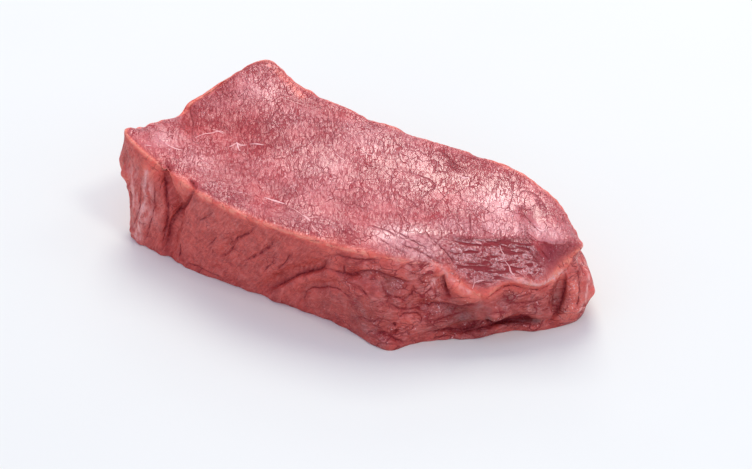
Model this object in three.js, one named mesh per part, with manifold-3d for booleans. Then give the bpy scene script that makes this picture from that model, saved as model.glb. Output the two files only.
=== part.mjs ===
// A thick raw piece of beef tenderloin, as one solid that lies flat on its cut underside.
// Millimetres, +Z up, with the origin under the middle of the piece and its length along X.
// The piece is a slab lofted between two rings, the rim of its cut top face and its outline on
// the board, and its folds, lobes and splits are pushed in and out of that slab.
import * as THREE from "three";
import { mergeVertices } from "three/addons/utils/BufferGeometryUtils.js";
import Module from "manifold-3d";

// Driving dimensions
const LENGTH = 190;
const WIDTH = 90;
const THICKNESS = 40;

// How finely the slab is divided along its length, width and thickness
const LENGTH_STEPS = 70;
const WIDTH_STEPS = 28;
const HEIGHT_STEPS = 18;

// The slab reaches this far below the board and tucks in there, before the board cuts it flat
const SINK = 3;
const TUCK = 4;

// The rim of the cut face is rounded over this reach, drawn in and down by this much
const ROUND_REACH = 4;
const ROUND_DROP = 0.9;

// How bluntly the cut face turns down towards the rim: 1 is a straight bevel
const SHOULDER_CURVE = 1.2;

// Stations round the piece, counterclockwise from above. rim is a place on the rim and floor one
// on the board, as shares of length, width and thickness from the middle. form holds the height
// of the cut face beside that rim, as a share of the thickness, the width over which the face
// falls to the rim, and how far the side swells between rim and board, both in millimetres.
const STATIONS = {
  "near left corner": { rim: [-0.489, -0.375, 1.145], floor: [-0.46, -0.458], form: [1.14, 8, -0.5] },
  "left split": { rim: [-0.311, -0.451, 1], floor: [-0.313, -0.5], form: [1.038, 10, 0.5] },
  "near flank": { rim: [-0.134, -0.502, 1.025], floor: [-0.166, -0.482], form: [1.062, 12, 0.5] },
  "near middle": { rim: [0.055, -0.448, 1], floor: [0.045, -0.437], form: [1.05, 12, 0.5] },
  "near shoulder": { rim: [0.176, -0.356, 0.95], floor: [0.197, -0.439], form: [1.038, 12, 1.5] },
  "near right corner": { rim: [0.282, -0.206, 0.787], floor: [0.268, -0.311], form: [0.988, 11, 2] },
  "low lip": { rim: [0.353, -0.158, 0.55], floor: [0.343, -0.19], form: [0.97, 12.5, 2] },
  "cut edge": { rim: [0.397, -0.053, 0.662], floor: [0.397, -0.027], form: [0.97, 11, 2] },
  "right lip": { rim: [0.445, 0.051, 0.575], floor: [0.461, 0.055], form: [0.955, 7.5, 2] },
  "right tip": { rim: [0.479, 0.209, 0.838], floor: [0.489, 0.184], form: [0.945, 4, 0.5] },
  "back right corner": { rim: [0.418, 0.351, 0.912], floor: [0.439, 0.362], form: [0.95, 10, 1.5] },
  "back shoulder": { rim: [0.337, 0.436, 0.97], floor: [0.345, 0.429], form: [0.975, 8, 2] },
  "back right": { rim: [0.171, 0.469, 0.985], floor: [0.176, 0.453], form: [1.015, 8, 2] },
  "back middle": { rim: [-0.003, 0.423, 1.007], floor: [-0.003, 0.407], form: [1.035, 8, 2] },
  "back left": { rim: [-0.161, 0.424, 1.02], floor: [-0.161, 0.403], form: [1.035, 8, 2] },
  "below peak": { rim: [-0.303, 0.444, 1.02], floor: [-0.303, 0.42], form: [1.045, 8, 2] },
  "peak": { rim: [-0.404, 0.46, 1.155], floor: [-0.387, 0.426], form: [1.155, 8, 1] },
  "left back": { rim: [-0.475, 0.105, 1.005], floor: [-0.445, 0.115], form: [1.035, 8, 1] },
  "notch": { rim: [-0.483, -0.024, 0.935], floor: [-0.471, -0.009], form: [0.97, 8, 1] },
  "left near": { rim: [-0.497, -0.217, 1.04], floor: [-0.474, -0.233], form: [1.04, 8, 0] },
};
// The stations at the patch's four corners: near left, near right, back right, back left
const CORNERS = [0, 6, 9, 16];

// Folds of the sides. Places are [distance round the piece from its near left corner, height].
// A fold is a groove of that depth and half width; step raises the meat on the left of the way
// the fold runs, over that reach.
const FOLD_WIDTH = 3;
const SIDE_FOLDS = {
  "left split": { path: [[20, 46], [23, 36], [30, 25], [27, 11], [24, -2]], depth: 4 },
  "flank seam": { path: [[68, 39], [65, 31], [59, 23], [52, 13]], width: 2.8, depth: 1.2 },
  "second flank seam": { path: [[79, 37], [78, 28], [73, 16]], width: 2.8, depth: 1 },
  "lower lobe": {
    path: [[103, 30], [92, 23], [85, 17], [79, 10], [73, 0]],
    depth: 2.2,
    step: 1.4,
    reach: 13,
  },
  "second lobe": { path: [[110, 22], [101, 19], [94, 14], [91, 4]], depth: 1.6, step: 1.2, reach: 8 },
  "shoulder seam": { path: [[110, 31], [118, 28], [127, 28], [136, 25]], depth: 1.8 },
  "belt seam": { path: [[134, 22], [142, 17], [153, 15], [166, 12]], depth: 2.4 },
  "lip split": { path: [[145, 31], [147, 25], [150, 19]], width: 2.8, depth: 2 },
  "undercut": { path: [[152, 3], [160, 6], [168, 8], [180, 8], [190, 6]], depth: 3.6 },
  "tip groove": { path: [[203, 30], [200, 23], [197, 13], [191, 0]], width: 2.8, depth: 3.6 },
  "back seam": {
    path: [[246, 36], [262, 27], [281, 21], [300, 20], [322, 15]],
    depth: 2.4,
    step: 1.6,
    reach: 12,
  },
  "back lower seam": { path: [[300, 6], [318, 9], [338, 9], [356, 11], [372, 8]], depth: 1.8 },
  "peak fold": { path: [[356, 40], [361, 28], [370, 18], [373, 5]], depth: 3 },
  "left end seam": { path: [[400, 37], [405, 26], [402, 14], [405, 2]], depth: 2.2 },
  "left end second seam": { path: [[425, 36], [430, 24], [433, 12]], depth: 1.8 },
};
// Lobes of the sides: the same places, with half sizes round the piece and upwards
const SIDE_LOBES = {
  "corner swell": { at: [10, 24], half: [9, 16], rise: 1 },
  "corner strip": { at: [-5, 31], half: [5, 7.5], rise: 3.4 },
  "belly of the lower lobe": { at: [94, 9], half: [14, 9], rise: 0.5 },
  "shoulder lobe": { at: [124, 22], half: [13, 7], rise: 1.6 },
  "foot": { at: [130, 2], half: [8, 5], rise: 1.6 },
  "belt lobe": { at: [150, 10], half: [13, 5], rise: 2 },
  "overhang": { at: [176, 14], half: [13, 5.5], rise: 3 },
  "hollow under the lip": { at: [169, 19], half: [6, 2.5], rise: -1.5 },
  "recess beside the tip": { at: [194, 14], half: [4, 9], rise: -1.4 },
  "thin foot": { at: [180, 1], half: [15, 4], rise: 1.6 },
  "tip flap": { at: [210, 12], half: [7, 12], rise: 4 },
  "tip flap second roll": { at: [221, 10], half: [8, 9], rise: 3.8 },
  "hollow below the tip": { at: [212, 25], half: [7, 5], rise: -3.2 },
  "back bulge": { at: [262, 14], half: [18, 12], rise: 2 },
  "back middle bulge": { at: [312, 27], half: [22, 10], rise: 1.6 },
  "back foot": { at: [345, 3], half: [22, 6], rise: 2 },
  "left end bulge": { at: [415, 20], half: [10, 15], rise: 1.8 },
};
// Folds and lobes of the cut face. Places are [x, y].
const FACE_FOLDS = {
  "cut step": {
    path: [[44, -11], [53, -7], [59, -4], [66, 1], [72, 6], [79, 9.5], [87, 14]],
    width: 1.8,
    depth: 0.4,
    step: 0.8,
    reach: 18,
  },
  "cross split": { path: [[61, 26], [68, 18], [76, 12], [84, 9]], width: 2.6, depth: 1.4 },
  "hollow seam": { path: [[-91, 6], [-85, -1], [-77, -10]], depth: 1.4 },
  "peak seam": { path: [[-62, 29], [-40, 31], [-12, 34]], depth: 0.9 },
};
const FACE_LOBES = {
  "crown": { at: [-10, -2], half: [62, 32], rise: 1.2 },
  "left hollow": { at: [-79, 9], half: [11, 13], rise: -3 },
  "near dip": { at: [-20, -31], half: [26, 7], rise: -0.8 },
};

const BEEF_RED = 0xb04a4a;
const BEEF_ROUGHNESS = 0.4;

const stations = Object.values(STATIONS);
const count = stations.length;
const scaled = (x, y, z) => new THREE.Vector3(x * LENGTH, y * WIDTH, z * THICKNESS);
const closedCurve = (points) => new THREE.CatmullRomCurve3(points, true, "catmullrom", 0.5);
const rimCurve = closedCurve(stations.map(({ rim }) => scaled(...rim)));
const floorCurve = closedCurve(stations.map(({ floor }) => scaled(...floor, 0)));
// The values that change round the piece, each as one coordinate of a closed curve
const formCurve = closedCurve(
  stations.map(({ form: [face, shoulder, belly] }) => new THREE.Vector3(face * THICKNESS, shoulder, belly)),
);

// A station number may be fractional and run past the last one.
const turn = (station) => THREE.MathUtils.euclideanModulo(station / count, 1);
const onRim = (station) => rimCurve.getPoint(turn(station));
const onFloor = (station) => floorCurve.getPoint(turn(station));
const formAt = (station) => {
  const v = formCurve.getPoint(turn(station));
  return { face: v.x, shoulder: v.y, belly: v.z };
};
const middleOutline = (station) => onRim(station).lerp(onFloor(station), 0.5).setZ(0);

// The level outward direction, square to the middle outline
function outward(station) {
  const step = 0.05;
  const way = middleOutline(station + step).sub(middleOutline(station - step));
  return new THREE.Vector3(way.y, -way.x, 0).normalize();
}

// Distances round the middle outline at even station numbers, and the rim's values at the same numbers
const RIM_SAMPLES = 400;
const samples = Array.from({ length: RIM_SAMPLES + 1 }, (_, i) => (i * count) / RIM_SAMPLES);
const rimSamples = samples.map(onRim);
const rimForms = samples.map(formAt);
const distances = [0];
for (let i = 1; i <= RIM_SAMPLES; i++) {
  const piece = middleOutline(samples[i]).distanceTo(middleOutline(samples[i - 1]));
  distances.push(distances[i - 1] + piece);
}
const PERIMETER = distances[RIM_SAMPLES];

function distanceRound(station) {
  const place = turn(station) * RIM_SAMPLES;
  const i = Math.min(Math.floor(place), RIM_SAMPLES - 1);
  return THREE.MathUtils.lerp(distances[i], distances[i + 1], place - i);
}

// The station number of a place on the edge of the square -1 to 1
function stationOf(a, b) {
  const [nearLeft, nearRight, backRight, backLeft] = CORNERS;
  const u = (a + 1) / 2;
  const v = (b + 1) / 2;
  if (b <= -1) return nearLeft + (nearRight - nearLeft) * u;
  if (a >= 1) return nearRight + (backRight - nearRight) * v;
  if (b >= 1) return backLeft + (backRight - backLeft) * u;
  return count + (backLeft - count) * v;
}

// A Coons patch: the sum of the two ruled surfaces between opposite edges, less the bilinear one
function patch(onEdge, a, b) {
  const u = (a + 1) / 2;
  const v = (b + 1) / 2;
  const point = new THREE.Vector3();
  point.addScaledVector(onEdge(stationOf(a, -1)), 1 - v);
  point.addScaledVector(onEdge(stationOf(a, 1)), v);
  point.addScaledVector(onEdge(stationOf(-1, THREE.MathUtils.clamp(b, -0.9999, 0.9999))), 1 - u);
  point.addScaledVector(onEdge(stationOf(1, THREE.MathUtils.clamp(b, -0.9999, 0.9999))), u);
  const weights = [(1 - u) * (1 - v), u * (1 - v), u * v, (1 - u) * v];
  CORNERS.forEach((station, i) => point.addScaledVector(onEdge(station), -weights[i]));
  return point;
}

// The nearest place of the rim, seen from above, and the rim's own values blended round there,
// each sample weighing less by this power of its distance
const BLEND_POWER = 6;
function nearestRim(point) {
  let station = 0;
  let away = Infinity;
  let sum = 0;
  let drop = 0;
  let shoulder = 0;
  rimSamples.forEach((rim, i) => {
    const distance = Math.hypot(rim.x - point.x, rim.y - point.y);
    const weight = (distance + 0.1) ** -BLEND_POWER;
    sum += weight;
    drop += weight * (rimForms[i].face - rim.z);
    shoulder += weight * rimForms[i].shoulder;
    if (distance < away) {
      away = distance;
      station = samples[i];
    }
  });
  return { station, away, drop: drop / sum, shoulder: shoulder / sum };
}

// A place of the cut face: level inside, and falling to the rim over the shoulder
function facePlace(a, b) {
  const point = patch(onRim, a, b);
  const { station, away, drop, shoulder } = nearestRim(point);
  const level = patch((s) => new THREE.Vector3(formAt(s).face), a, b).x;
  const share = THREE.MathUtils.clamp(1 - away / shoulder, 0, 1);
  point.z = level - drop * share ** SHOULDER_CURVE;
  return { point, station, up: onRim(station).z + away, away, face: true };
}

// A place of the side: ruled from board to rim and swollen by the belly, and tucked in below
function sidePlace(station, share) {
  const rim = onRim(station);
  const height = -SINK + (rim.z + SINK) * share;
  const rise = THREE.MathUtils.clamp(height / rim.z, 0, 1);
  const point = onFloor(station).lerp(rim, rise);
  const swell = formAt(station).belly * Math.sin(Math.PI * rise);
  const tuck = TUCK * THREE.MathUtils.clamp(-height / SINK, 0, 1);
  point.addScaledVector(outward(station), swell - tuck).setZ(height);
  return { point, station, up: height, away: rim.z - height, face: false };
}

function underPlace(a, b) {
  const point = patch((s) => sidePlace(s, 0).point, a, b);
  return { point, station: 0, up: -SINK, away: Infinity, face: false };
}

// A corner of the divided box as a place of the slab
function slabPlace(a, b, c) {
  const onSide = Math.max(Math.abs(a), Math.abs(b)) >= 1;
  let place;
  if (onSide) {
    place = sidePlace(stationOf(a, b), (c + 1) / 2);
    place.face = c >= 1;
  } else {
    place = c > 0 ? facePlace(a, b) : underPlace(a, b);
  }
  const fillet = ROUND_DROP * THREE.MathUtils.clamp(1 - place.away / ROUND_REACH, 0, 1) ** 2;
  place.point.addScaledVector(outward(place.station), -fillet);
  place.point.z -= fillet;
  return place;
}

// A path through the named places of a fold, smoothed and cut into short straight pieces
const PIECES_PER_SPAN = 5;
function smoothed(fold) {
  const curve = new THREE.SplineCurve(fold.path.map(([x, y]) => new THREE.Vector2(x, y)));
  const points = curve.getPoints(PIECES_PER_SPAN * (fold.path.length - 1));
  return { ...fold, path: points.map((p) => [p.x, p.y]) };
}
const sideFolds = Object.values(SIDE_FOLDS).map(smoothed);
const faceFolds = Object.values(FACE_FOLDS).map(smoothed);

// The nearest place on a path of straight pieces: how far off, on which side, and how far along
function nearestOnPath(path, x, y) {
  const lengths = path.slice(1).map(([px, py], i) => Math.hypot(px - path[i][0], py - path[i][1]));
  const whole = lengths.reduce((sum, piece) => sum + piece, 0);
  let before = 0;
  let best = { away: Infinity, side: 1, along: 0 };
  lengths.forEach((length, i) => {
    const [startX, startY] = path[i];
    const wayX = (path[i + 1][0] - startX) / length;
    const wayY = (path[i + 1][1] - startY) / length;
    const run = THREE.MathUtils.clamp((x - startX) * wayX + (y - startY) * wayY, 0, length);
    const offX = x - startX - run * wayX;
    const offY = y - startY - run * wayY;
    const away = Math.hypot(offX, offY);
    if (away < best.away) {
      best = { away, side: Math.sign(wayX * offY - wayY * offX) || 1, along: (before + run) / whole };
    }
    before += length;
  });
  return best;
}

// A fold's height at a place: a groove along its path and a step on its left, fading at both ends
function foldHeight({ path, width = FOLD_WIDTH, depth, step = 0, reach = 1 }, x, y) {
  const { away, side, along } = nearestOnPath(path, x, y);
  const fade = Math.min(1, 6 * along + 0.15, 6 * (1 - along) + 0.15);
  const groove = -depth * Math.exp(-((away / width) ** 2));
  const raised = side > 0 ? step * (1 - Math.exp(-away / width)) * Math.exp(-((away / reach) ** 2)) : 0;
  return (groove + raised) * fade;
}

function lobeHeight({ at, half, rise }, x, y) {
  return rise * Math.exp(-(((x - at[0]) / half[0]) ** 2) - ((y - at[1]) / half[1]) ** 2);
}

// How far folds and lobes push a place out of the slab. The side's map is laid out from the
// middle of each fold or lobe, so that one may run across the near left corner.
function relief(place) {
  const round = distanceRound(place.station);
  const half = PERIMETER / 2;
  const near = (x) => x - half + THREE.MathUtils.euclideanModulo(round - x + half, PERIMETER);
  let push = 0;
  for (const fold of sideFolds) push += foldHeight(fold, near(fold.path[0][0]), place.up);
  for (const lobe of Object.values(SIDE_LOBES)) push += lobeHeight(lobe, near(lobe.at[0]), place.up);
  if (place.face) {
    const { x, y } = place.point;
    for (const fold of faceFolds) push += foldHeight(fold, x, y);
    for (const lobe of Object.values(FACE_LOBES)) push += lobeHeight(lobe, x, y);
  }
  return place.up <= -SINK ? 0 : push;
}

// The divided box carried onto the slab and pushed out along its own normals
function slabGeometry() {
  const geometry = new THREE.BoxGeometry(2, 2, 2, LENGTH_STEPS, WIDTH_STEPS, HEIGHT_STEPS);
  geometry.deleteAttribute("normal");
  geometry.deleteAttribute("uv");
  const slab = mergeVertices(geometry);
  const position = slab.getAttribute("position");
  const places = [];
  for (let i = 0; i < position.count; i++) {
    const place = slabPlace(position.getX(i), position.getY(i), position.getZ(i));
    places.push(place);
    position.setXYZ(i, ...place.point);
  }
  slab.computeVertexNormals();
  const normal = slab.getAttribute("normal");
  const out = new THREE.Vector3();
  places.forEach((place, i) => {
    out.fromBufferAttribute(normal, i);
    const { x, y, z } = place.point.addScaledVector(out, relief(place));
    position.setXYZ(i, x, y, z);
  });
  slab.deleteAttribute("normal");
  return slab;
}

const wasm = await Module();
wasm.setup();

function solidOf(geometry) {
  const bare = geometry.clone();
  bare.deleteAttribute("normal");
  bare.deleteAttribute("uv");
  const merged = mergeVertices(bare);
  return new wasm.Manifold(
    new wasm.Mesh({
      numProp: 3,
      vertProperties: new Float32Array(merged.getAttribute("position").array),
      triVerts: new Uint32Array(merged.getIndex().array),
    }),
  );
}

function geometryOf(solid) {
  const { vertProperties, triVerts } = solid.getMesh();
  const geometry = new THREE.BufferGeometry();
  geometry.setAttribute("position", new THREE.BufferAttribute(vertProperties, 3));
  geometry.setIndex(new THREE.BufferAttribute(triVerts, 1));
  geometry.computeVertexNormals();
  return geometry;
}

// All that is below the board, so that the underside is cut to one flat face
function belowBoard() {
  const depth = 30;
  const block = new THREE.BoxGeometry(2 * LENGTH, 2 * WIDTH, depth);
  block.translate(0, 0, -depth / 2);
  return block;
}

const tenderloin = new THREE.Mesh(
  geometryOf(solidOf(slabGeometry()).subtract(solidOf(belowBoard()))),
  new THREE.MeshStandardMaterial({ color: BEEF_RED, roughness: BEEF_ROUGHNESS, metalness: 0 }),
);
tenderloin.name = "tenderloin";

// The middle of the piece's own box is set over the origin.
tenderloin.geometry.computeBoundingBox();
const middle = tenderloin.geometry.boundingBox.getCenter(new THREE.Vector3());
tenderloin.geometry.translate(-middle.x, -middle.y, 0);

const beef = new THREE.Group();
beef.add(tenderloin);

export default beef;
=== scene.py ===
"""A thick raw slab of beef tenderloin, dressed over its solid.

The slab is lofted between two rings, the rim of its cut face and its outline on the board, and its
folds are pushed in and out of that. Shapes are worked out in millimetres and put into Blender's
metres at the end. Folds and strands of fat that the photograph shows are named by its pixels, in
its 752 by 469 frame, and cast onto the slab from the camera.
"""

import math

import bpy
import numpy as np
from bpy.props import FloatProperty, FloatVectorProperty, IntProperty, PointerProperty
from bpy.types import Operator, Panel, PropertyGroup
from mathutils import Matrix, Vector
from mathutils.bvhtree import BVHTree


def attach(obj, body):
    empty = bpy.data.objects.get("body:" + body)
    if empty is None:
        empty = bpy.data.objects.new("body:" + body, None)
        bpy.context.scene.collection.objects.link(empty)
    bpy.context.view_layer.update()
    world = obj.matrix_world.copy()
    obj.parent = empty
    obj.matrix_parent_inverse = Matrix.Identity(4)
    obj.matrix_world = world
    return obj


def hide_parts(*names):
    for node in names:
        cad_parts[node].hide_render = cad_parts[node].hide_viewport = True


bl_info = {
    "name": "Beef Tenderloin",
    "version": (1, 0, 0),
    "blender": (4, 5, 0),
    "location": "View3D > Sidebar > Beef",
    "description": "Adds a raw slab of beef with its folds, marbling and moist surface, and a stage for it",
    "category": "Add Mesh",
}

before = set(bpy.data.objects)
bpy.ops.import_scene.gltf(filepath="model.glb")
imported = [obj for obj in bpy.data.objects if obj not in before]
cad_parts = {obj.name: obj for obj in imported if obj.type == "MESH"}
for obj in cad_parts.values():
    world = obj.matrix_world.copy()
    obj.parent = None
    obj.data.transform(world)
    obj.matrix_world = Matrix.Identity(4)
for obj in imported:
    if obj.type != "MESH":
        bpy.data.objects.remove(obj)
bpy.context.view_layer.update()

METRES = 0.001

# Driving dimensions of the slab in millimetres, as its solid has them
LENGTH = 190.0
WIDTH = 90.0
THICKNESS = 40.0
# How far the sides run on below the board, and how far they are tucked in there
SINK = 3.0
TUCK = 4.0
# Rounding of the rim: how far it reaches, and how far it takes the edge down and in
ROUND_REACH = 4.0
ROUND_DROP = 0.9
# Powers of the fall to the rim, and of the distance that blends values of the rim
SHOULDER_CURVE = 1.2
BLEND_POWER = 6.0
# Distance from the rim of what lies underneath, and a small step of the station number
FAR_AWAY = 1e6
SMALL_STEP = 0.05

# Stations round the slab, counterclockwise from above: a place on the rim and one on the board,
# as shares of length, width and thickness, then the height of the cut face beside the rim as a
# share of the thickness, the width over which it falls to the rim, and the swell of the side.
STATIONS = {
    "near left corner": ((-0.489, -0.375, 1.145), (-0.46, -0.458), (1.14, 8, -0.5)),
    "left split": ((-0.311, -0.451, 1.0), (-0.313, -0.5), (1.038, 10, 0.5)),
    "near flank": ((-0.134, -0.502, 1.025), (-0.166, -0.482), (1.062, 12, 0.5)),
    "near middle": ((0.055, -0.448, 1.0), (0.045, -0.437), (1.05, 12, 0.5)),
    "near shoulder": ((0.176, -0.356, 0.95), (0.197, -0.439), (1.038, 12, 1.5)),
    "near right corner": ((0.282, -0.206, 0.787), (0.268, -0.311), (0.988, 11, 2)),
    "low lip": ((0.353, -0.158, 0.55), (0.343, -0.19), (0.97, 12.5, 2)),
    "cut edge": ((0.397, -0.053, 0.662), (0.397, -0.027), (0.97, 11, 2)),
    "right lip": ((0.445, 0.051, 0.575), (0.461, 0.055), (0.955, 7.5, 2)),
    "right tip": ((0.479, 0.209, 0.838), (0.489, 0.184), (0.945, 4, 0.5)),
    "back right corner": ((0.418, 0.351, 0.912), (0.439, 0.362), (0.95, 10, 1.5)),
    "back shoulder": ((0.337, 0.436, 0.97), (0.345, 0.429), (0.975, 8, 2)),
    "back right": ((0.171, 0.469, 0.985), (0.176, 0.453), (1.015, 8, 2)),
    "back middle": ((-0.003, 0.423, 1.007), (-0.003, 0.407), (1.035, 8, 2)),
    "back left": ((-0.161, 0.424, 1.02), (-0.161, 0.403), (1.035, 8, 2)),
    "below peak": ((-0.303, 0.444, 1.02), (-0.303, 0.42), (1.045, 8, 2)),
    "peak": ((-0.404, 0.46, 1.155), (-0.387, 0.426), (1.155, 8, 1)),
    "left back": ((-0.475, 0.105, 1.005), (-0.445, 0.115), (1.035, 8, 1)),
    "notch": ((-0.483, -0.024, 0.935), (-0.471, -0.009), (0.97, 8, 1)),
    "left near": ((-0.497, -0.217, 1.04), (-0.474, -0.233), (1.04, 8, 0)),
}
# The stations at the patch's corners: near left, near right, back right, back left
CORNERS = (0, 6, 9, 16)

# Main folds of the sides, as the solid has them: a path of (distance round from the near left
# corner, height), width, depth, and the step and reach of the meat raised on its left
SIDE_FOLDS = {
    "left split": ([(20, 46), (23, 36), (30, 25), (27, 11), (24, -2)], 3, 4, 0, 1),
    "flank seam": ([(68, 39), (65, 31), (59, 23), (52, 13)], 2.8, 1.2, 0, 1),
    "second flank seam": ([(79, 37), (78, 28), (73, 16)], 2.8, 1, 0, 1),
    "lower lobe": ([(103, 30), (92, 23), (85, 17), (79, 10), (73, 0)], 3, 2.2, 1.4, 13),
    "second lobe": ([(110, 22), (101, 19), (94, 14), (91, 4)], 3, 1.6, 1.2, 8),
    "shoulder seam": ([(110, 31), (118, 28), (127, 28), (136, 25)], 3, 1.8, 0, 1),
    "belt seam": ([(134, 22), (142, 17), (153, 15), (166, 12)], 3, 2.4, 0, 1),
    "lip split": ([(145, 31), (147, 25), (150, 19)], 2.8, 2, 0, 1),
    "undercut": ([(152, 3), (160, 6), (168, 8), (180, 8), (190, 6)], 3, 3.6, 0, 1),
    "tip groove": ([(203, 30), (200, 23), (197, 13), (191, 0)], 2.8, 3.6, 0, 1),
    "back seam": ([(246, 36), (262, 27), (281, 21), (300, 20), (322, 15)], 3, 2.4, 1.6, 12),
    "back lower seam": ([(300, 6), (318, 9), (338, 9), (356, 11), (372, 8)], 3, 1.8, 0, 1),
    "peak fold": ([(356, 40), (361, 28), (370, 18), (373, 5)], 3, 3, 0, 1),
    "left end seam": ([(400, 37), (405, 26), (402, 14), (405, 2)], 3, 2.2, 0, 1),
    "left end second seam": ([(425, 36), (430, 24), (433, 12)], 3, 1.8, 0, 1),
}
# Lobes of the sides: the middle, the half sizes round the slab and upwards, and the rise
SIDE_LOBES = {
    "corner swell": ((10, 24), (9, 16), 1),
    "corner strip": ((-5, 31), (5, 7.5), 3.4),
    "belly of the lower lobe": ((94, 9), (14, 9), 0.5),
    "shoulder lobe": ((124, 22), (13, 7), 1.6),
    "foot": ((130, 2), (8, 5), 1.6),
    "belt lobe": ((150, 10), (13, 5), 2),
    "overhang": ((176, 14), (13, 5.5), 3),
    "hollow under the lip": ((169, 19), (6, 2.5), -1.5),
    "recess beside the tip": ((194, 14), (4, 9), -1.4),
    "thin foot": ((180, 1), (15, 4), 1.6),
    "tip flap": ((210, 12), (7, 12), 4),
    "tip flap second roll": ((221, 10), (8, 9), 3.8),
    "hollow below the tip": ((212, 25), (7, 5), -3.2),
    "back bulge": ((262, 14), (18, 12), 2),
    "back middle bulge": ((312, 27), (22, 10), 1.6),
    "back foot": ((345, 3), (22, 6), 2),
    "left end bulge": ((415, 20), (10, 15), 1.8),
}
# Main folds and lobes of the cut face, in the same forms, with places (x, y)
FACE_FOLDS = {
    "cut step": ([(44, -11), (53, -7), (59, -4), (66, 1), (72, 6), (79, 9.5), (87, 14)], 1.8, 0.4, 0.8, 18),
    "cross split": ([(61, 26), (68, 18), (76, 12), (84, 9)], 2.6, 1.4, 0, 1),
    "hollow seam": ([(-91, 6), (-85, -1), (-77, -10)], 3, 1.4, 0, 1),
    "peak seam": ([(-62, 29), (-40, 31), (-12, 34)], 3, 0.9, 0, 1),
}
FACE_LOBES = {
    "crown": ((-10, -2), (62, 32), 1.2),
    "left hollow": ((-79, 9), (11, 13), -3),
    "near dip": ((-20, -31), (26, 7), -0.8),
}

# The camera that the photograph was taken with, as fitted to the slab's outline
PHOTO_WIDE = 752
PHOTO_HIGH = 469
CAMERA_AZIMUTH = 34.0
CAMERA_ELEVATION = 39.0
CAMERA_DISTANCE = 1044.0
CAMERA_AIM = (-2.88, 16.49, 0.0)
CAMERA_LENS = 120.0
CAMERA_SENSOR = 36.0
FOCAL_PIXELS = PHOTO_WIDE * CAMERA_LENS / CAMERA_SENSOR

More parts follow.
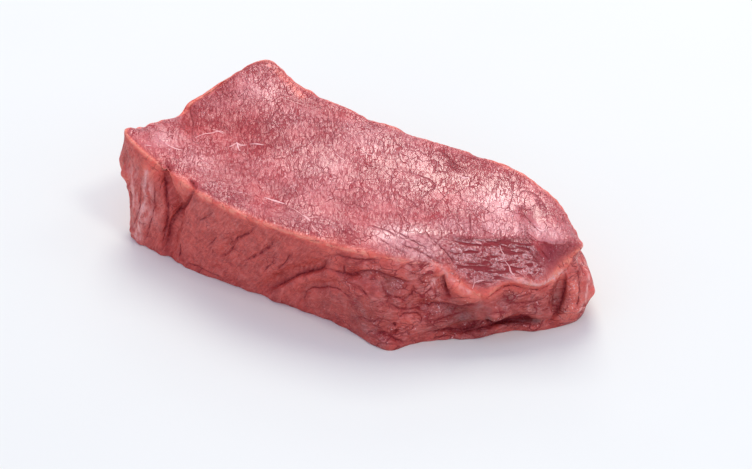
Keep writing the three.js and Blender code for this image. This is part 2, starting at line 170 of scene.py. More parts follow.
# Fine folds that the photograph shows: a path of its pixels, the depth of the crack in
# millimetres, its half width, and the step of the meat on its left as the path runs. A negative
# depth makes a ridge.
SEEN_FOLDS = {
    "split upper": (
        [(194, 182), (193, 191), (186, 202), (180, 212), (173, 223), (170, 237), (166, 252)],
        2.6, 1.0, 0.5,
    ),
    "split inner": ([(168, 164), (166, 177), (166, 196), (167, 217), (165, 234), (162, 247)], 2.0, 0.9, -0.4),
    "split foot": ([(179, 240), (178, 248), (179, 258)], 1.6, 0.9, 0),
    "rim nick left": ([(166, 160), (168, 166), (167, 173)], 1.6, 0.9, 0),
    "rim nick second": ([(190, 178), (194, 184), (195, 190)], 1.6, 0.9, 0),
    "flank crack one": ([(215, 209), (207, 217), (199, 221)], 0.7, 0.6, 0.2),
    "flank crack two": ([(255, 227), (247, 234), (236, 240), (231, 250), (219, 257)], 1.2, 0.7, 0.5),
    "flank crack three": ([(276, 238), (269, 247), (259, 254), (243, 261)], 1.3, 0.7, 0.5),
    "flank crack four": ([(217, 237), (208, 246)], 0.5, 0.7, 0),
    "flank crack five": ([(276, 259), (264, 271)], 0.8, 0.6, 0),
    "flank crack six": ([(293, 252), (284, 264), (276, 270)], 0.9, 0.6, 0),
    "lobe crease": ([(329, 255), (323, 266), (313, 270), (300, 273), (286, 280), (268, 289)], 1.8, 1.0, 0.9),
    "lobe crease upper": (
        [
            (322, 266), (333, 271), (344, 275), (355, 274), (367, 272),
            (378, 273), (389, 277), (398, 281), (414, 284),
        ],
        1.6, 0.9, 0.4,
    ),
    "lobe crack": ([(344, 263), (344, 277)], 1.0, 0.7, 0),
    "under rim seam": ([(323, 257), (338, 255), (348, 258), (369, 260), (385, 257)], 0.9, 0.8, 0),
    "second lobe edge": (
        [(306, 297), (308, 289), (318, 287), (334, 287), (345, 293), (354, 300), (360, 308)],
        0.7, 0.7, -0.4,
    ),
    "second lobe side": ([(306, 290), (304, 299)], 0.9, 0.7, 0),
    "diagonal split": ([(355, 284), (362, 290), (368, 296)], 1.4, 0.8, 0.3),
    "window left": ([(380, 278), (384, 288), (389, 295), (400, 298), (407, 300)], 1.0, 0.7, 0),
    "window right": ([(414, 284), (413, 292), (407, 299), (402, 303)], 1.2, 0.7, 0.3),
    "belt line": ([(385, 299), (393, 305), (400, 309), (415, 308), (423, 305)], 0.9, 0.7, 0.3),
    "belt crack": ([(422, 306), (436, 304), (449, 305), (461, 308), (472, 305), (480, 302)], 1.8, 0.8, 0.5),
    "rim split": ([(443, 272), (444, 281), (446, 289), (451, 297)], 2.6, 1.0, 0.6),
    "round lobe": ([(395, 321), (400, 316), (407, 313), (418, 313), (422, 320), (414, 327)], 1.0, 0.7, -0.5),
    "pit one": ([(393, 323), (395, 327)], 1.6, 0.9, 0),
    "pit two": ([(394, 331), (397, 333)], 1.6, 0.9, 0),
    "foot edge": ([(373, 335), (383, 333), (395, 339), (404, 343)], 1.6, 0.9, -0.6),
    "lower belt": ([(420, 333), (438, 332), (453, 330), (467, 328), (482, 320)], 1.6, 0.9, 0.5),
    "corner crease": ([(353, 321), (362, 316), (372, 321), (383, 318)], 0.8, 0.8, 0),
    "corner crease two": ([(420, 322), (436, 320), (452, 314), (468, 313)], 0.9, 0.8, 0.3),
    "ledge edge": ([(487, 317), (491, 320), (504, 321), (513, 319), (527, 317), (538, 317)], 2.6, 1.1, 1.0),
    "foot line": ([(452, 336), (467, 331), (486, 327), (507, 322), (530, 322)], 1.6, 0.8, -0.5),
    "recess": ([(565, 272), (564, 283), (562, 296), (558, 308), (550, 320)], 1.8, 1.1, 0.6),
    "nub side": ([(548, 306), (545, 316), (541, 325)], 1.2, 0.8, 0),
    "flap crease": ([(573, 266), (577, 276), (579, 288), (577, 301), (573, 311)], 0.7, 0.6, 0.4),
    "facet ridge": (
        [(527, 225), (527, 235), (530, 240), (538, 248), (546, 256), (553, 265)],
        0.8, 0.7, -0.25,
    ),
    "facet crack one": ([(470, 213), (470, 224), (472, 237)], 0.8, 0.6, 0),
    "facet crack two": ([(484, 225), (485, 239)], 0.5, 0.5, 0),
    "facet crack three": ([(500, 229), (501, 240)], 0.6, 0.5, 0),
    "facet crack four": ([(519, 222), (522, 232), (521, 239)], 0.6, 0.5, 0),
    "facet crack five": ([(456, 222), (459, 236)], 0.4, 0.5, 0),
    "face crack one": (
        [(407, 171), (421, 176), (432, 181), (435, 187), (428, 192), (423, 197), (421, 202)],
        0.5, 0.5, 0,
    ),
    "face crack two": ([(408, 198), (414, 204), (419, 208), (424, 211)], 0.5, 0.5, 0),
    "face crack two branch": ([(414, 204), (410, 209), (407, 216)], 0.4, 0.5, 0),
    "face crack three": ([(442, 200), (434, 207)], 0.5, 0.5, 0),
    "face crack four": ([(447, 161), (455, 169), (462, 172)], 0.9, 0.7, 0),
    "face loop": (
        [(516, 199), (519, 196), (523, 191), (533, 193), (540, 199), (544, 206), (548, 216)],
        0.5, 0.5, 0,
    ),
    "face crack five": ([(510, 203), (520, 209), (526, 218), (535, 228), (542, 234)], 0.6, 0.6, 0),
    "face crack six": ([(534, 198), (541, 207), (546, 212)], 0.6, 0.5, 0),
    "shoulder sheen crack": ([(396, 241), (406, 246), (417, 250), (430, 257), (447, 266)], 0.8, 0.6, 0),
    "shoulder sheen crack two": ([(390, 228), (402, 235), (416, 243), (432, 251)], 0.6, 0.6, 0),
    "shoulder sheen crack three": ([(424, 234), (436, 243), (447, 254), (457, 268)], 0.6, 0.6, 0),
    "shoulder sheen crack four": ([(378, 238), (392, 246), (408, 254)], 0.5, 0.6, 0),
    "shoulder sheen branch": ([(416, 250), (419, 246)], 0.6, 0.5, 0),
    "peak crack": ([(282, 103), (273, 115), (263, 126)], 0.8, 0.6, 0),
    "left hollow edge": ([(187, 104), (191, 114), (193, 126), (191, 140)], 0.5, 0.9, 0.3),
    "left hollow branch": ([(176, 121), (184, 128), (191, 136)], 0.4, 0.7, 0),
    "back crack": ([(433, 148), (446, 155), (455, 164), (469, 170)], 0.7, 0.7, 0.2),
    "mid crack": ([(350, 198), (357, 205), (367, 210)], 0.5, 0.6, 0),
    "near crack": ([(365, 222), (375, 227), (388, 231), (400, 240)], 0.6, 0.6, 0),
    "facet cord": ([(528, 230), (532, 242), (540, 253), (548, 266)], -0.9, 1.5, 0),
    "facet cord side": ([(522, 238), (527, 248), (535, 258), (540, 268)], 0.6, 0.8, 0),
    "left end ridge one": ([(146, 176), (148, 192), (145, 210), (141, 224), (136, 236)], -1.0, 1.3, 0),
    "left end ridge two": ([(137, 180), (134, 192), (134, 206), (137, 218)], -0.7, 1.1, 0),
    "left end groove": ([(141, 182), (141, 198), (139, 214), (134, 228)], 0.7, 0.8, 0),
    "left end groove two": ([(155, 182), (154, 200), (152, 218), (146, 240)], 0.7, 0.9, 0),
    "left edge groove": ([(124, 180), (129, 188), (130, 200), (131, 214)], 0.9, 0.9, 0),
    "flap roll": ([(580, 262), (587, 275), (589, 290), (584, 305), (576, 315)], -0.9, 1.6, 0),
    "split fold": ([(176, 236), (173, 246), (170, 254)], -0.8, 1.2, 0),
    "lip roll left": ([(438, 268), (446, 278), (457, 286), (468, 292), (480, 293)], -1.2, 2.0, 0),
    "lip roll right": (
        [(500, 283), (512, 280), (525, 281), (538, 281), (550, 276), (562, 268)],
        -1.1, 1.8, 0,
    ),
    "lip underside": (
        [(484, 299), (492, 294), (502, 288), (512, 285), (524, 288), (540, 289), (554, 282)],
        0.9, 1.3, 0.3,
    ),
    "ledge top": ([(500, 301), (514, 303), (530, 302), (544, 299)], 0.6, 1.2, 0),
    "left flank foot": ([(185, 262), (205, 270), (225, 280)], 0.6, 0.8, 0.3),
}

# The folds' cracks are kept in two sets, in turn, so that neighbours can cross. A point far from
# any crack is given this distance, in half widths.
CRACK_SETS = ("first", "second")
NO_CRACK = 9.0

# The scarp's upper edge, by its pixels from left to right; the cut face is lower below it. Its
# rise is in millimetres and fades at its ends, its reach and the width of its edge in pixels.
SCARP = [
    (430, 262), (449, 236), (462, 239), (479, 240), (500, 240),
    (521, 239), (540, 242), (560, 244), (575, 243),
]
SCARP_FADE = ([444, 458, 566, 578], [0, 1, 1, 0])
SCARP_RISE = 0.8
SCARP_REACH = 28.0
SCARP_EDGE = 2.8

# Lumps and hollows that the photograph shows: its pixel, the reach and the rise in millimetres
SEEN_LUMPS = {
    "lip left": ((458, 284), 5.0, 0.9),
    "lip middle": ((487, 293), 4.0, 0.6),
    "lip right": ((522, 283), 5.0, 0.9),
    "hollow under the lip": ((502, 296), 4.5, -0.7),
    "hollow by the ledge": ((482, 308), 3.0, -0.8),
    "ledge left": ((498, 311), 3.6, 1.0),
    "ledge middle": ((512, 309), 3.6, 1.0),
    "ledge right": ((528, 308), 3.6, 1.0),
    "ledge rag one": ((493, 316), 1.6, 0.9),
    "ledge rag two": ((502, 319), 1.4, -0.7),
    "ledge rag three": ((513, 316), 1.6, 0.9),
    "ledge rag four": ((524, 315), 1.4, -0.6),
    "ledge rag five": ((533, 315), 1.6, 0.8),
    "under the lip one": ((476, 300), 1.8, 0.8),
    "under the lip two": ((467, 305), 1.6, -0.7),
    "under the lip three": ((487, 306), 1.8, 0.8),
    "hollow over the foot": ((462, 319), 4.5, -1.4),
    "nub": ((546, 312), 2.6, 2.6),
    "round lobe": ((409, 320), 3.4, 1.0),
    "foot flap": ((386, 341), 4.0, 1.0),
    "window floor": ((393, 287), 3.4, -1.0),
    "rim lobe": ((434, 283), 3.0, 0.9),
    "left end swell": ((146, 222), 4.0, 0.8),
    "left end hollow": ((155, 205), 3.0, -0.7),
    "shred": ((129, 234), 2.4, 0.9),
    "wedge in the split": ((182, 203), 3.6, -0.8),
    "flap foot": ((575, 311), 3.6, 0.7),
    "flap point": ((590, 291), 2.4, 1.2),
    "flap rag one": ((577, 273), 1.6, 0.6),
    "flap rag two": ((581, 283), 1.5, -0.6),
    "flap rag three": ((576, 291), 1.6, 0.6),
    "flap rag four": ((581, 300), 1.5, 0.6),
    "flap rag five": ((574, 303), 1.5, -0.6),
    "left end nub": ((126, 173), 2.2, 2.2),
    "left end notch": ((129, 182), 1.5, -1.0),
    "left end nub lower": ((129, 188), 1.5, 0.9),
    "left end notch lower": ((132, 198), 2.2, -0.8),
    "left end foot nub": ((134, 230), 2.0, 1.6),
    "dark spot": ((239, 127), 3.4, -0.7),
    "top dip": ((300, 165), 9.0, -0.5),
    "top rise": ((250, 92), 9.0, 0.5),
    "top right dip": ((445, 190), 8.0, -0.5),
    "shoulder swell": ((425, 228), 9.0, 0.6),
    "right corner point": ((576, 245), 2.6, 2.2),
    "below the right corner": ((576, 258), 2.4, -1.2),
}

# Strands of white fat and sinew that the photograph shows: a path of its pixels, the width in
# millimetres, and how white the strand is
FAT_STRANDS = {
    "star arm left": ([(229, 147), (233, 145), (237, 143)], 0.6, 0.8),
    "star arm right": ([(236, 142), (240, 145), (246, 145)], 0.6, 0.9),
    "star arm down": ([(237, 142), (238, 147), (240, 151)], 0.6, 1.0),
    "dash by the star": ([(249, 144), (257, 144), (264, 145)], 0.5, 1.0),
    "hollow arc": ([(194, 138), (204, 134), (211, 133), (220, 131), (224, 133)], 0.5, 0.7),
    "hollow arc upper": ([(212, 129), (218, 131), (224, 134)], 0.4, 0.7),
    "corner curve": ([(166, 144), (172, 147), (177, 149), (183, 150)], 0.7, 1.0),
    "corner dash": ([(145, 145), (152, 146)], 0.4, 1.0),
    "long dash": ([(264, 197), (272, 200), (279, 202), (285, 204)], 1.1, 1.0),
    "short dash": ([(238, 192), (243, 193)], 0.5, 1.0),
    "fork stem": ([(288, 206), (297, 211), (305, 217)], 0.3, 0.2),
    "fork knot": ([(303, 215), (307, 218), (310, 221)], 1.2, 0.7),
    "fork arm": ([(308, 218), (315, 217), (320, 217)], 0.4, 0.4),
    "fork tail": ([(311, 223), (314, 229), (319, 232), (321, 237)], 0.4, 0.3),
    "facet strand": ([(500, 245), (501, 250), (504, 255), (503, 260)], 0.4, 0.8),
    "facet strand lower": ([(505, 261), (509, 266), (511, 272), (515, 276)], 0.5, 0.8),
    "lip strand": ([(472, 290), (474, 284), (475, 278)], 0.35, 0.6),
    "lip strand top": ([(473, 283), (479, 281), (485, 280)], 0.35, 0.6),
    "back dash one": ([(325, 145), (335, 145)], 0.5, 0.7),
    "back dash two": ([(335, 153), (341, 158), (344, 160)], 0.5, 0.7),
    "back dash three": ([(360, 155), (368, 154), (380, 157)], 0.4, 0.7),
    "back line one": ([(280, 93), (292, 97), (300, 101)], 0.3, 0.1),
    "back line two": ([(284, 98), (297, 103), (312, 106)], 0.3, 0.1),
    "middle fleck": ([(459, 175), (464, 178), (470, 177)], 0.9, 1.0),
    "round fat": ([(536, 227), (541, 231), (546, 229)], 0.6, 1.0),
}

# Places where the finish changes: the photograph's pixel or a path of them, the reach in
# millimetres and the strength. Films of fat and sinew are pale, and some pale places paint sheen
# and highlights. Thin translucent lips are orange, painted brighter for light shining through them.
# Hollows are browned meat with painted shade. The slope has ridges. Satin meat is smoother, matt
# drier and wet moister, with painted glint specks. Side shade and shade are painted shade, sheen is
# a painted hazy highlight, and the lengthwise bands have their grain that way.
TINTS = {
    "pale": {
        "rim lobe": ((435, 281), 3.4, 0.9),
        "rim lobe lower": ((437, 290), 2.4, 0.7),
        "peak underside": ((269, 68), 4.0, 0.7),
        "left end top": ((133, 172), 4.0, 0.5),
        "left end upper": ((147, 190), 4.5, 0.85),
        "left end upper left": ((135, 192), 4.5, 0.75),
        "left end middle": ((145, 212), 5.0, 0.9),
        "left end foot": ((137, 234), 4.0, 0.9),
        # Painted highlights on the lip at the tip
        "lip at the tip": ((552, 277), 3.0, 0.35),
        "lip at the tip right": ((563, 271), 2.6, 0.35),
        "fork": ((307, 218), 1.8, 0.7),
        "corner film": ((172, 135), 7.0, 0.3),
        "left middle film": ((205, 165), 9.0, 0.2),
        "top fleck": ((464, 176), 2.2, 0.7),
        "star": ((238, 145), 1.6, 0.7),
        # Painted sheen on the near shoulder
        "painted shoulder sheen": ((428, 249), 8.0, 1.0),
        "painted shoulder sheen upper": ((404, 236), 8.0, 1.0),
        # Painted highlights along the lip's edge
        "lip edge": (
            [(498, 281), (510, 277), (524, 280), (538, 284), (548, 279), (557, 274), (566, 270)],
            1.0, 1.0,
        ),
        "lip edge left": ([(440, 264), (446, 272), (452, 279), (460, 287), (468, 292)], 0.7, 0.6),
        "flap strip": ([(577, 258), (582, 267), (586, 278), (585, 290), (582, 302), (578, 312)], 0.7, 1.0),
        "left end strip": ([(147, 172), (146, 184), (148, 196), (144, 206)], 1.1, 1.0),
        "left end strip lower": ([(146, 206), (143, 218), (140, 230), (135, 237)], 1.4, 1.0),
        "left end strip left": ([(131, 172), (134, 184), (133, 196), (136, 208)], 1.0, 0.7),
    },
    # Orange of thin translucent edges, painted brighter for light shining through them
    "orange": {
        "near left rim": ((150, 168), 4.5, 0.8),
        "split overhang": ((181, 184), 3.5, 0.9),
        "lip left": ([(446, 272), (454, 281), (464, 288), (474, 293)], 3.0, 1.0),
        "lip middle": ([(474, 293), (485, 294), (496, 289), (508, 284)], 2.6, 1.0),
        "lip right": ([(508, 284), (522, 283), (538, 284), (552, 279), (564, 271)], 3.0, 0.9),
        "right corner": ((579, 243), 3.0, 0.9),
        "right rim": ((565, 210), 2.4, 0.6),
        "flap front": ([(574, 285), (574, 296), (573, 306), (572, 312)], 3.4, 0.8),
        "flap edge": ((590, 292), 4.0, 0.7),
        "corner nub": ((123, 172), 4.0, 0.7),
        "back strip": ([(266, 61), (275, 69), (284, 78), (294, 88), (302, 97)], 1.1, 0.9),
        "round lobe": ((411, 320), 3.0, 0.35),
        "rim near the middle": ((330, 245), 3.5, 0.5),
    },
    "slope": {
        "ridges upper": ([(462, 250), (482, 250), (500, 251), (522, 254)], 6.0, 1.0),
        "ridges lower": ([(468, 270), (488, 270), (508, 272), (530, 274)], 7.0, 1.0),
    },
    "satin": {
        "right": ((500, 205), 22.0, 1.0),
        "right end": ((537, 222), 12.0, 1.0),
        "middle right": ((440, 190), 20.0, 0.9),
        "middle": ((380, 165), 18.0, 0.7),
        "centre": ((310, 165), 16.0, 0.6),
        "near shoulder": ((418, 240), 11.0, 1.0),
        "near shoulder left": ((385, 232), 9.0, 0.8),
        "near middle": ((330, 212), 12.0, 0.5),
        "left": ((200, 168), 9.0, 0.8),
        "peak": ((268, 90), 9.0, 0.5),
        "near left corner": ((158, 143), 7.0, 0.8),
    },
    "matt": {
        "hollow": ((200, 122), 9.0, 0.9),
        "dark spot": ((243, 128), 6.0, 0.9),
        "beside the star": ((258, 152), 5.0, 0.6),
        "below the scarp": ((490, 246), 6.0, 0.7),
        "below the scarp right": ((545, 250), 7.0, 0.9),
        "facet": ((530, 268), 7.0, 0.6),
        "near left": ((260, 196), 6.0, 0.5),
        "near rim": ((350, 243), 6.0, 0.6),
    },
    # Painted shade low on the sides: the lobes, the ledge, the belt, the foot and the recess
    "side_shade": {
        "lobe": ((365, 318), 12.0, 1.0),
        "lower lobe": ((330, 305), 9.0, 0.6),
        "shoulder": ((420, 300), 9.0, 0.5),
        "ledge": ((505, 312), 10.0, 1.0),
        "belt": ((450, 312), 10.0, 0.8),
        "foot": ((470, 328), 9.0, 1.0),
        "ledge right": ((535, 305), 8.0, 0.9),
        "recess": ((560, 295), 5.0, 0.9),
    },
    # Wet spots: moister, and carrying painted glint specks
    "wet": {
        "window": ((398, 284), 3.5, 1.0),
        "below the rim lobe": ((437, 306), 3.0, 1.0),
        "lobe crease": ((366, 276), 3.0, 0.8),
        "rim lobe": ((434, 282), 3.0, 0.8),
        "flap": ([(574, 285), (574, 300), (570, 312)], 3.0, 0.8),
        "nub": ((547, 314), 2.4, 0.8),
        "lip right": ([(538, 284), (552, 279), (564, 271)], 2.0, 0.8),
        "left end": ([(146, 184), (146, 206), (138, 232)], 3.0, 0.6),
    },
    "lengthwise": {
        "near band": ([(185, 168), (250, 196), (310, 222), (370, 240), (432, 262)], 7.0, 1.0),
        "back band": ([(300, 105), (370, 130), (440, 158), (500, 188), (545, 215)], 6.0, 0.8),
    },
    # Painted sheen: a pale hazy highlight where the cut face catches the light
    "sheen": {
        "above the scarp": ([(452, 226), (478, 229), (505, 229), (530, 231), (552, 236)], 6.0, 0.9),
        "right": ((500, 205), 15.0, 0.75),
        "near shoulder": ([(392, 234), (418, 246), (446, 260)], 7.0, 1.0),
        "peak": ((258, 92), 12.0, 0.45),
        "centre": ((325, 165), 18.0, 0.35),
        "middle right": ((400, 185), 18.0, 0.3),
        "back": ([(300, 115), (360, 138), (420, 160)], 8.0, 0.45),
        "left": ((215, 105), 8.0, 0.4),
        "near left corner": ((163, 138), 6.0, 0.6),
        "left middle": ((195, 160), 6.0, 0.5),
    },
    # Painted shade below the scarp's edge, in the hollows and on the facet's darker triangle
    "shade": {
        "below the scarp": ([(456, 242), (480, 243), (505, 244), (530, 246)], 1.7, 1.0),
        "triangle": ((553, 254), 7.0, 1.0),
        "dark spot": ((240, 127), 4.0, 0.6),
        "hollow": ((203, 120), 6.0, 0.4),
    },
    # Browned meat, and painted shade in the hollows and under the ledge
    "browned_and_shade": {
        "hollow over the foot": ((463, 321), 6.0, 0.8),
        "hollow under the lip": ((510, 298), 3.0, 0.5),
        "recess": ((558, 300), 5.0, 0.5),
        "window": ((392, 287), 5.0, 0.4),
        "lower belt": ((440, 326), 5.0, 0.3),
        "ledge shade": ((478, 309), 4.0, 0.5),
        "under the ledge": ([(488, 318), (505, 322), (520, 321), (538, 320)], 1.6, 0.9),
    },
}

# Courses of a value, by the distance round from the near left corner: how level the fibres of the
# sides lie, the ragged left end, and the painted shade of the far side; and the rim's width, by the station
FIBRE_LEVEL = ([0, 95, 125, 200, 235, 280, 400, 440, 464], [0, 0.1, 0.85, 1, 0.5, 0.4, 0.3, 0, 0])
LEFT_END = ([0, 10, 17, 436, 446, 464], [1, 1, 0, 0, 1, 1])
FAR_SIDE_SHADE = ([240, 262, 420, 440], [0, 0.55, 0.55, 0])
RIM_WIDTHS = ([2, 3.5, 5.5, 7], [1.6, 1.4, 1.1, 1.4])
# Layers of fine relief: the height and the size of the lumps in millimetres, and their seed. The
# ribs of the sides have a slant in degrees first, and are drawn out along it.
SIDE_LUMPS = ((1.0, 10.0, 13),)
STEEP_RIBS = (62, ((0.42, 5.5, 73), (0.22, 2.4, 74)))
LEVEL_RIBS = (6, ((0.72, 5.5, 17), (0.38, 2.4, 18)))
RIB_STRETCH = 3.4
FACE_LUMPS = ((0.22, 12.0, 14), (0.14, 4.6, 15), (0.08, 2.0, 16))
LEFT_END_LUMPS = ((0.45, 2.6, 20),)
FOOT_LUMPS = ((0.5, 4.2, 19),)
FOOT_HEIGHT = 5.0
RIM_LUMPS = ((0.4, 2.6, 17), (0.25, 5.0, 18))
RIM_SWELL = 0.35
RIM_REACH = 1.5

# Ways in which grain, ridges and fibres run, in degrees: about Z on the cut face, and within the
# map of the sides
GRAIN_TURN = 34.0
BAND_TURN = -88.0
RIDGE_TURN = -66.0
STEEP_TURN = -28.0
LEVEL_TURN = -84.0
CRUMPLE_TURN = -80.0
# Height of the bumps in metres
MEAT_BUMPS = 0.0003
FAT_BUMPS = 0.0001

# Soft lights: the place and the aim in metres, the size, the power in watts and the tint
LIGHTS = {
    "back_window": ((-0.99, 1.53, 2.51), (0, 0, 0.02), (1.5, 1.5), 43.0, (1.0, 1.0, 0.91)),
    "low_window": ((-1.32, 1.88, 1.22), (-0.03, 0, 0.02), (0.9, 0.4), 3.4, (1.0, 1.0, 0.91)),
    "key": ((1.26, 1.71, 2.16), (0, 0, 0), (0.7, 0.7), 2.3, (1.0, 0.99, 0.91)),
    "high_fill": ((1.0, 0.02, 1.73), (0.05, 0, 0.02), (0.4, 0.4), 6.5, (1.0, 0.99, 0.91)),
}
SKY_TINT = (0.78, 0.74, 1.0)
SKY_STRENGTH = 0.75
# Half the floor's side in millimetres
FLOOR_HALF = 1500.0

STATION_COUNT = len(STATIONS)
RIM_SAMPLES = 400
SAMPLE_STATIONS = np.arange(RIM_SAMPLES + 1) * STATION_COUNT / RIM_SAMPLES


def bell(distance, width):
    """A bell curve: e to the minus square of the distance in widths."""
    return np.exp(-((distance / width) ** 2))


def unit(vectors):
    return vectors / np.maximum(np.linalg.norm(vectors, axis=1, keepdims=True), 1e-9)


def cubic(before, start, end, after, t):
    """The cubic from start to end whose slope at each is half the difference of its neighbours."""
    return 0.5 * (
        2 * start
        + (end - before) * t
        + (2 * before - 5 * start + 4 * end - after) * t**2
        + (3 * start - before - 3 * end + after) * t**3
    )


def closed_curve(values, station):
    """Uniform Catmull-Rom curve round the stations: each span is the cubic through its ends."""
    first = np.floor(station).astype(int)
    return cubic(*(values[(first + k) % STATION_COUNT] for k in (-1, 0, 1, 2)), (station - first)[:, None])


def open_curve(points, spans):
    """Catmull-Rom curve through open points, spans pieces to each gap, its ends repeated."""
    points = np.asarray(points, float)
    padded = np.concatenate([points[:1], points, points[-1:]])
    place = np.linspace(0, len(points) - 1, spans * (len(points) - 1) + 1)
    first = np.minimum(place.astype(int), len(points) - 2)
    return cubic(*(padded[first + k] for k in range(4)), (place - first)[:, None])


class Outline:
    """The stations at the slab's real size: the rim, the outline on the board, and the form of
    the face and sides. The middle outline runs half way between the two rings."""

    def __init__(self, size):
        values = list(STATIONS.values())
        self.rim = np.array([rim for rim, _, _ in values]) * size
        self.floor = np.array([(*floor, 0.0) for _, floor, _ in values]) * size
        self.form = np.array([form for _, _, form in values], float) * (size[2], 1, 1)
        steps = np.linalg.norm(np.diff(self.middle(SAMPLE_STATIONS), axis=0), axis=1)
        self.distances = np.concatenate([[0.0], np.cumsum(steps)])
        self.perimeter = self.distances[-1]

    def middle(self, station):
        return 0.5 * (closed_curve(self.rim, station) + closed_curve(self.floor, station))[:, :2]

    def outward(self, station):
        """Level unit direction square to the middle outline, from a small difference along it."""
        way = unit(self.middle(station + SMALL_STEP) - self.middle(station - SMALL_STEP))
        return np.stack([way[:, 1], -way[:, 0], np.zeros(len(way))], axis=1)


def station_of(a, b):
    """Station number of places on the edge of the square -1 to 1, even along each edge."""
    near_left, near_right, back_right, back_left = CORNERS
    u = (a + 1) / 2
    v = (b + 1) / 2
    near = near_left + (near_right - near_left) * u
    right = near_right + (back_right - near_right) * v
    back = back_left + (back_right - back_left) * u
    left = STATION_COUNT + (back_left - STATION_COUNT) * v
    return np.select([b <= -1, a >= 1, b >= 1], [near, right, back], left) % STATION_COUNT


def patch(values, a, b):
    """Coons patch: the two ruled surfaces between opposite edges, less the bilinear one. Places
    on the left and right edges are kept just off the corners, where another edge begins."""
    one = np.ones_like(a)
    u = ((a + 1) / 2)[:, None]
    v = ((b + 1) / 2)[:, None]
    inner = np.clip(b, -0.9999, 0.9999)
    point = closed_curve(values, station_of(a, -one)) * (1 - v)
    point += closed_curve(values, station_of(a, one)) * v
    point += closed_curve(values, station_of(-one, inner)) * (1 - u)
    point += closed_curve(values, station_of(one, inner)) * u
    weights = ((1 - u) * (1 - v), u * (1 - v), u * v, (1 - u) * v)
    return point - sum(weight * values[corner] for weight, corner in zip(weights, CORNERS))


def box_grid(columns, rows, layers):
    """The surface of the cube -1 to 1, divided evenly: its points, each once, and its squares
    with their corners counterclockwise from outside."""
    counts = (columns, rows, layers)
    shell = np.zeros([count + 1 for count in counts], bool)
    for axis in range(3):
        for end in (0, -1):
            shell[(slice(None),) * axis + (end,)] = True
    numbers = -np.ones(shell.shape, int)
    numbers[shell] = np.arange(shell.sum())
    points = np.stack(np.nonzero(shell), axis=1) / np.array(counts) * 2 - 1
    squares = []
    for axis in range(3):
        for end in (0, counts[axis]):
            face = np.take(numbers, end, axis=axis)
            corners = np.stack([face[:-1, :-1], face[1:, :-1], face[1:, 1:], face[:-1, 1:]], axis=-1)
            backwards = (end == 0) != (axis == 1)
            squares.append(corners.reshape(-1, 4)[:, :: -1 if backwards else 1])
    return points, np.concatenate(squares)


def vertex_normals(points, squares):
    """Mean of the squares' normals at each point, each square weighing as its area."""
    p = points[squares]
    normals = np.cross(p[:, 2] - p[:, 0], p[:, 3] - p[:, 1])
    total = np.zeros_like(points)
    for corner in range(4):
        for axis in range(3):
            total[:, axis] += np.bincount(squares[:, corner], normals[:, axis], len(points))
    return unit(total)


def nearest_on_path(path, places):
    """For each place, the distance to a path of straight pieces, in two or three dimensions,
    the offset from it, its direction there and how far along the path that is, from 0 to 1."""
    path = np.asarray(path, float)
    ways = np.diff(path, axis=0)
    lengths = np.linalg.norm(ways, axis=1)
    ways = ways / lengths[:, None]
    starts = np.concatenate([[0.0], np.cumsum(lengths)])
    away = np.full(len(places), np.inf)
    offset = np.zeros((len(places), path.shape[1]))
    way = np.zeros_like(offset)
    along = np.zeros(len(places))
    for piece, length in enumerate(lengths):
        from_start = places - path[piece]
        run = np.clip(from_start @ ways[piece], 0, length)
        off = from_start - run[:, None] * ways[piece]
        distance = np.linalg.norm(off, axis=1)
        closer = distance < away
        away[closer] = distance[closer]
        offset[closer] = off[closer]
        way[closer] = ways[piece]
        along[closer] = (starts[piece] + run[closer]) / starts[-1]
    return away, offset, way, along


def fold_height(fold, places):
    """A groove along the fold's path, shaped as a bell curve, and a step on its left that
    falls off over its reach; both fade at the path's ends."""
    path, width, depth, step, reach = fold
    away, offset, way, along = nearest_on_path(open_curve(path, 5), places)
    left = way[:, 0] * offset[:, 1] - way[:, 1] * offset[:, 0] > 0
    fade = np.minimum(1, np.minimum(6 * along, 6 * (1 - along)) + 0.15)
    raised = step * (1 - np.exp(-away / width)) * bell(away, reach)
    return (np.where(left, raised, 0) - depth * bell(away, width)) * fade


def lobe_height(lobe, places):
    """A bell-shaped rise with its own half size each way."""
    at, half, rise = lobe
    return rise * np.exp(-(((places - at) / half) ** 2).sum(axis=1))


def lattice_noise(points, size, seed):
    """Random values from -1 to 1 at the corners of a cubic lattice of that size, blended
    smoothly across each cell."""
    table = np.random.default_rng(seed).uniform(-1, 1, (32, 32, 32))
    place = points / size
    cell = np.floor(place).astype(int)
    t = place - cell
    t = t * t * (3 - 2 * t)
    total = np.zeros(len(points))
    for corner in np.ndindex(2, 2, 2):
        weight = np.prod(np.where(corner, t, 1 - t), axis=1)
        total += weight * table[tuple(((cell + corner) % 32).T)]
    return total


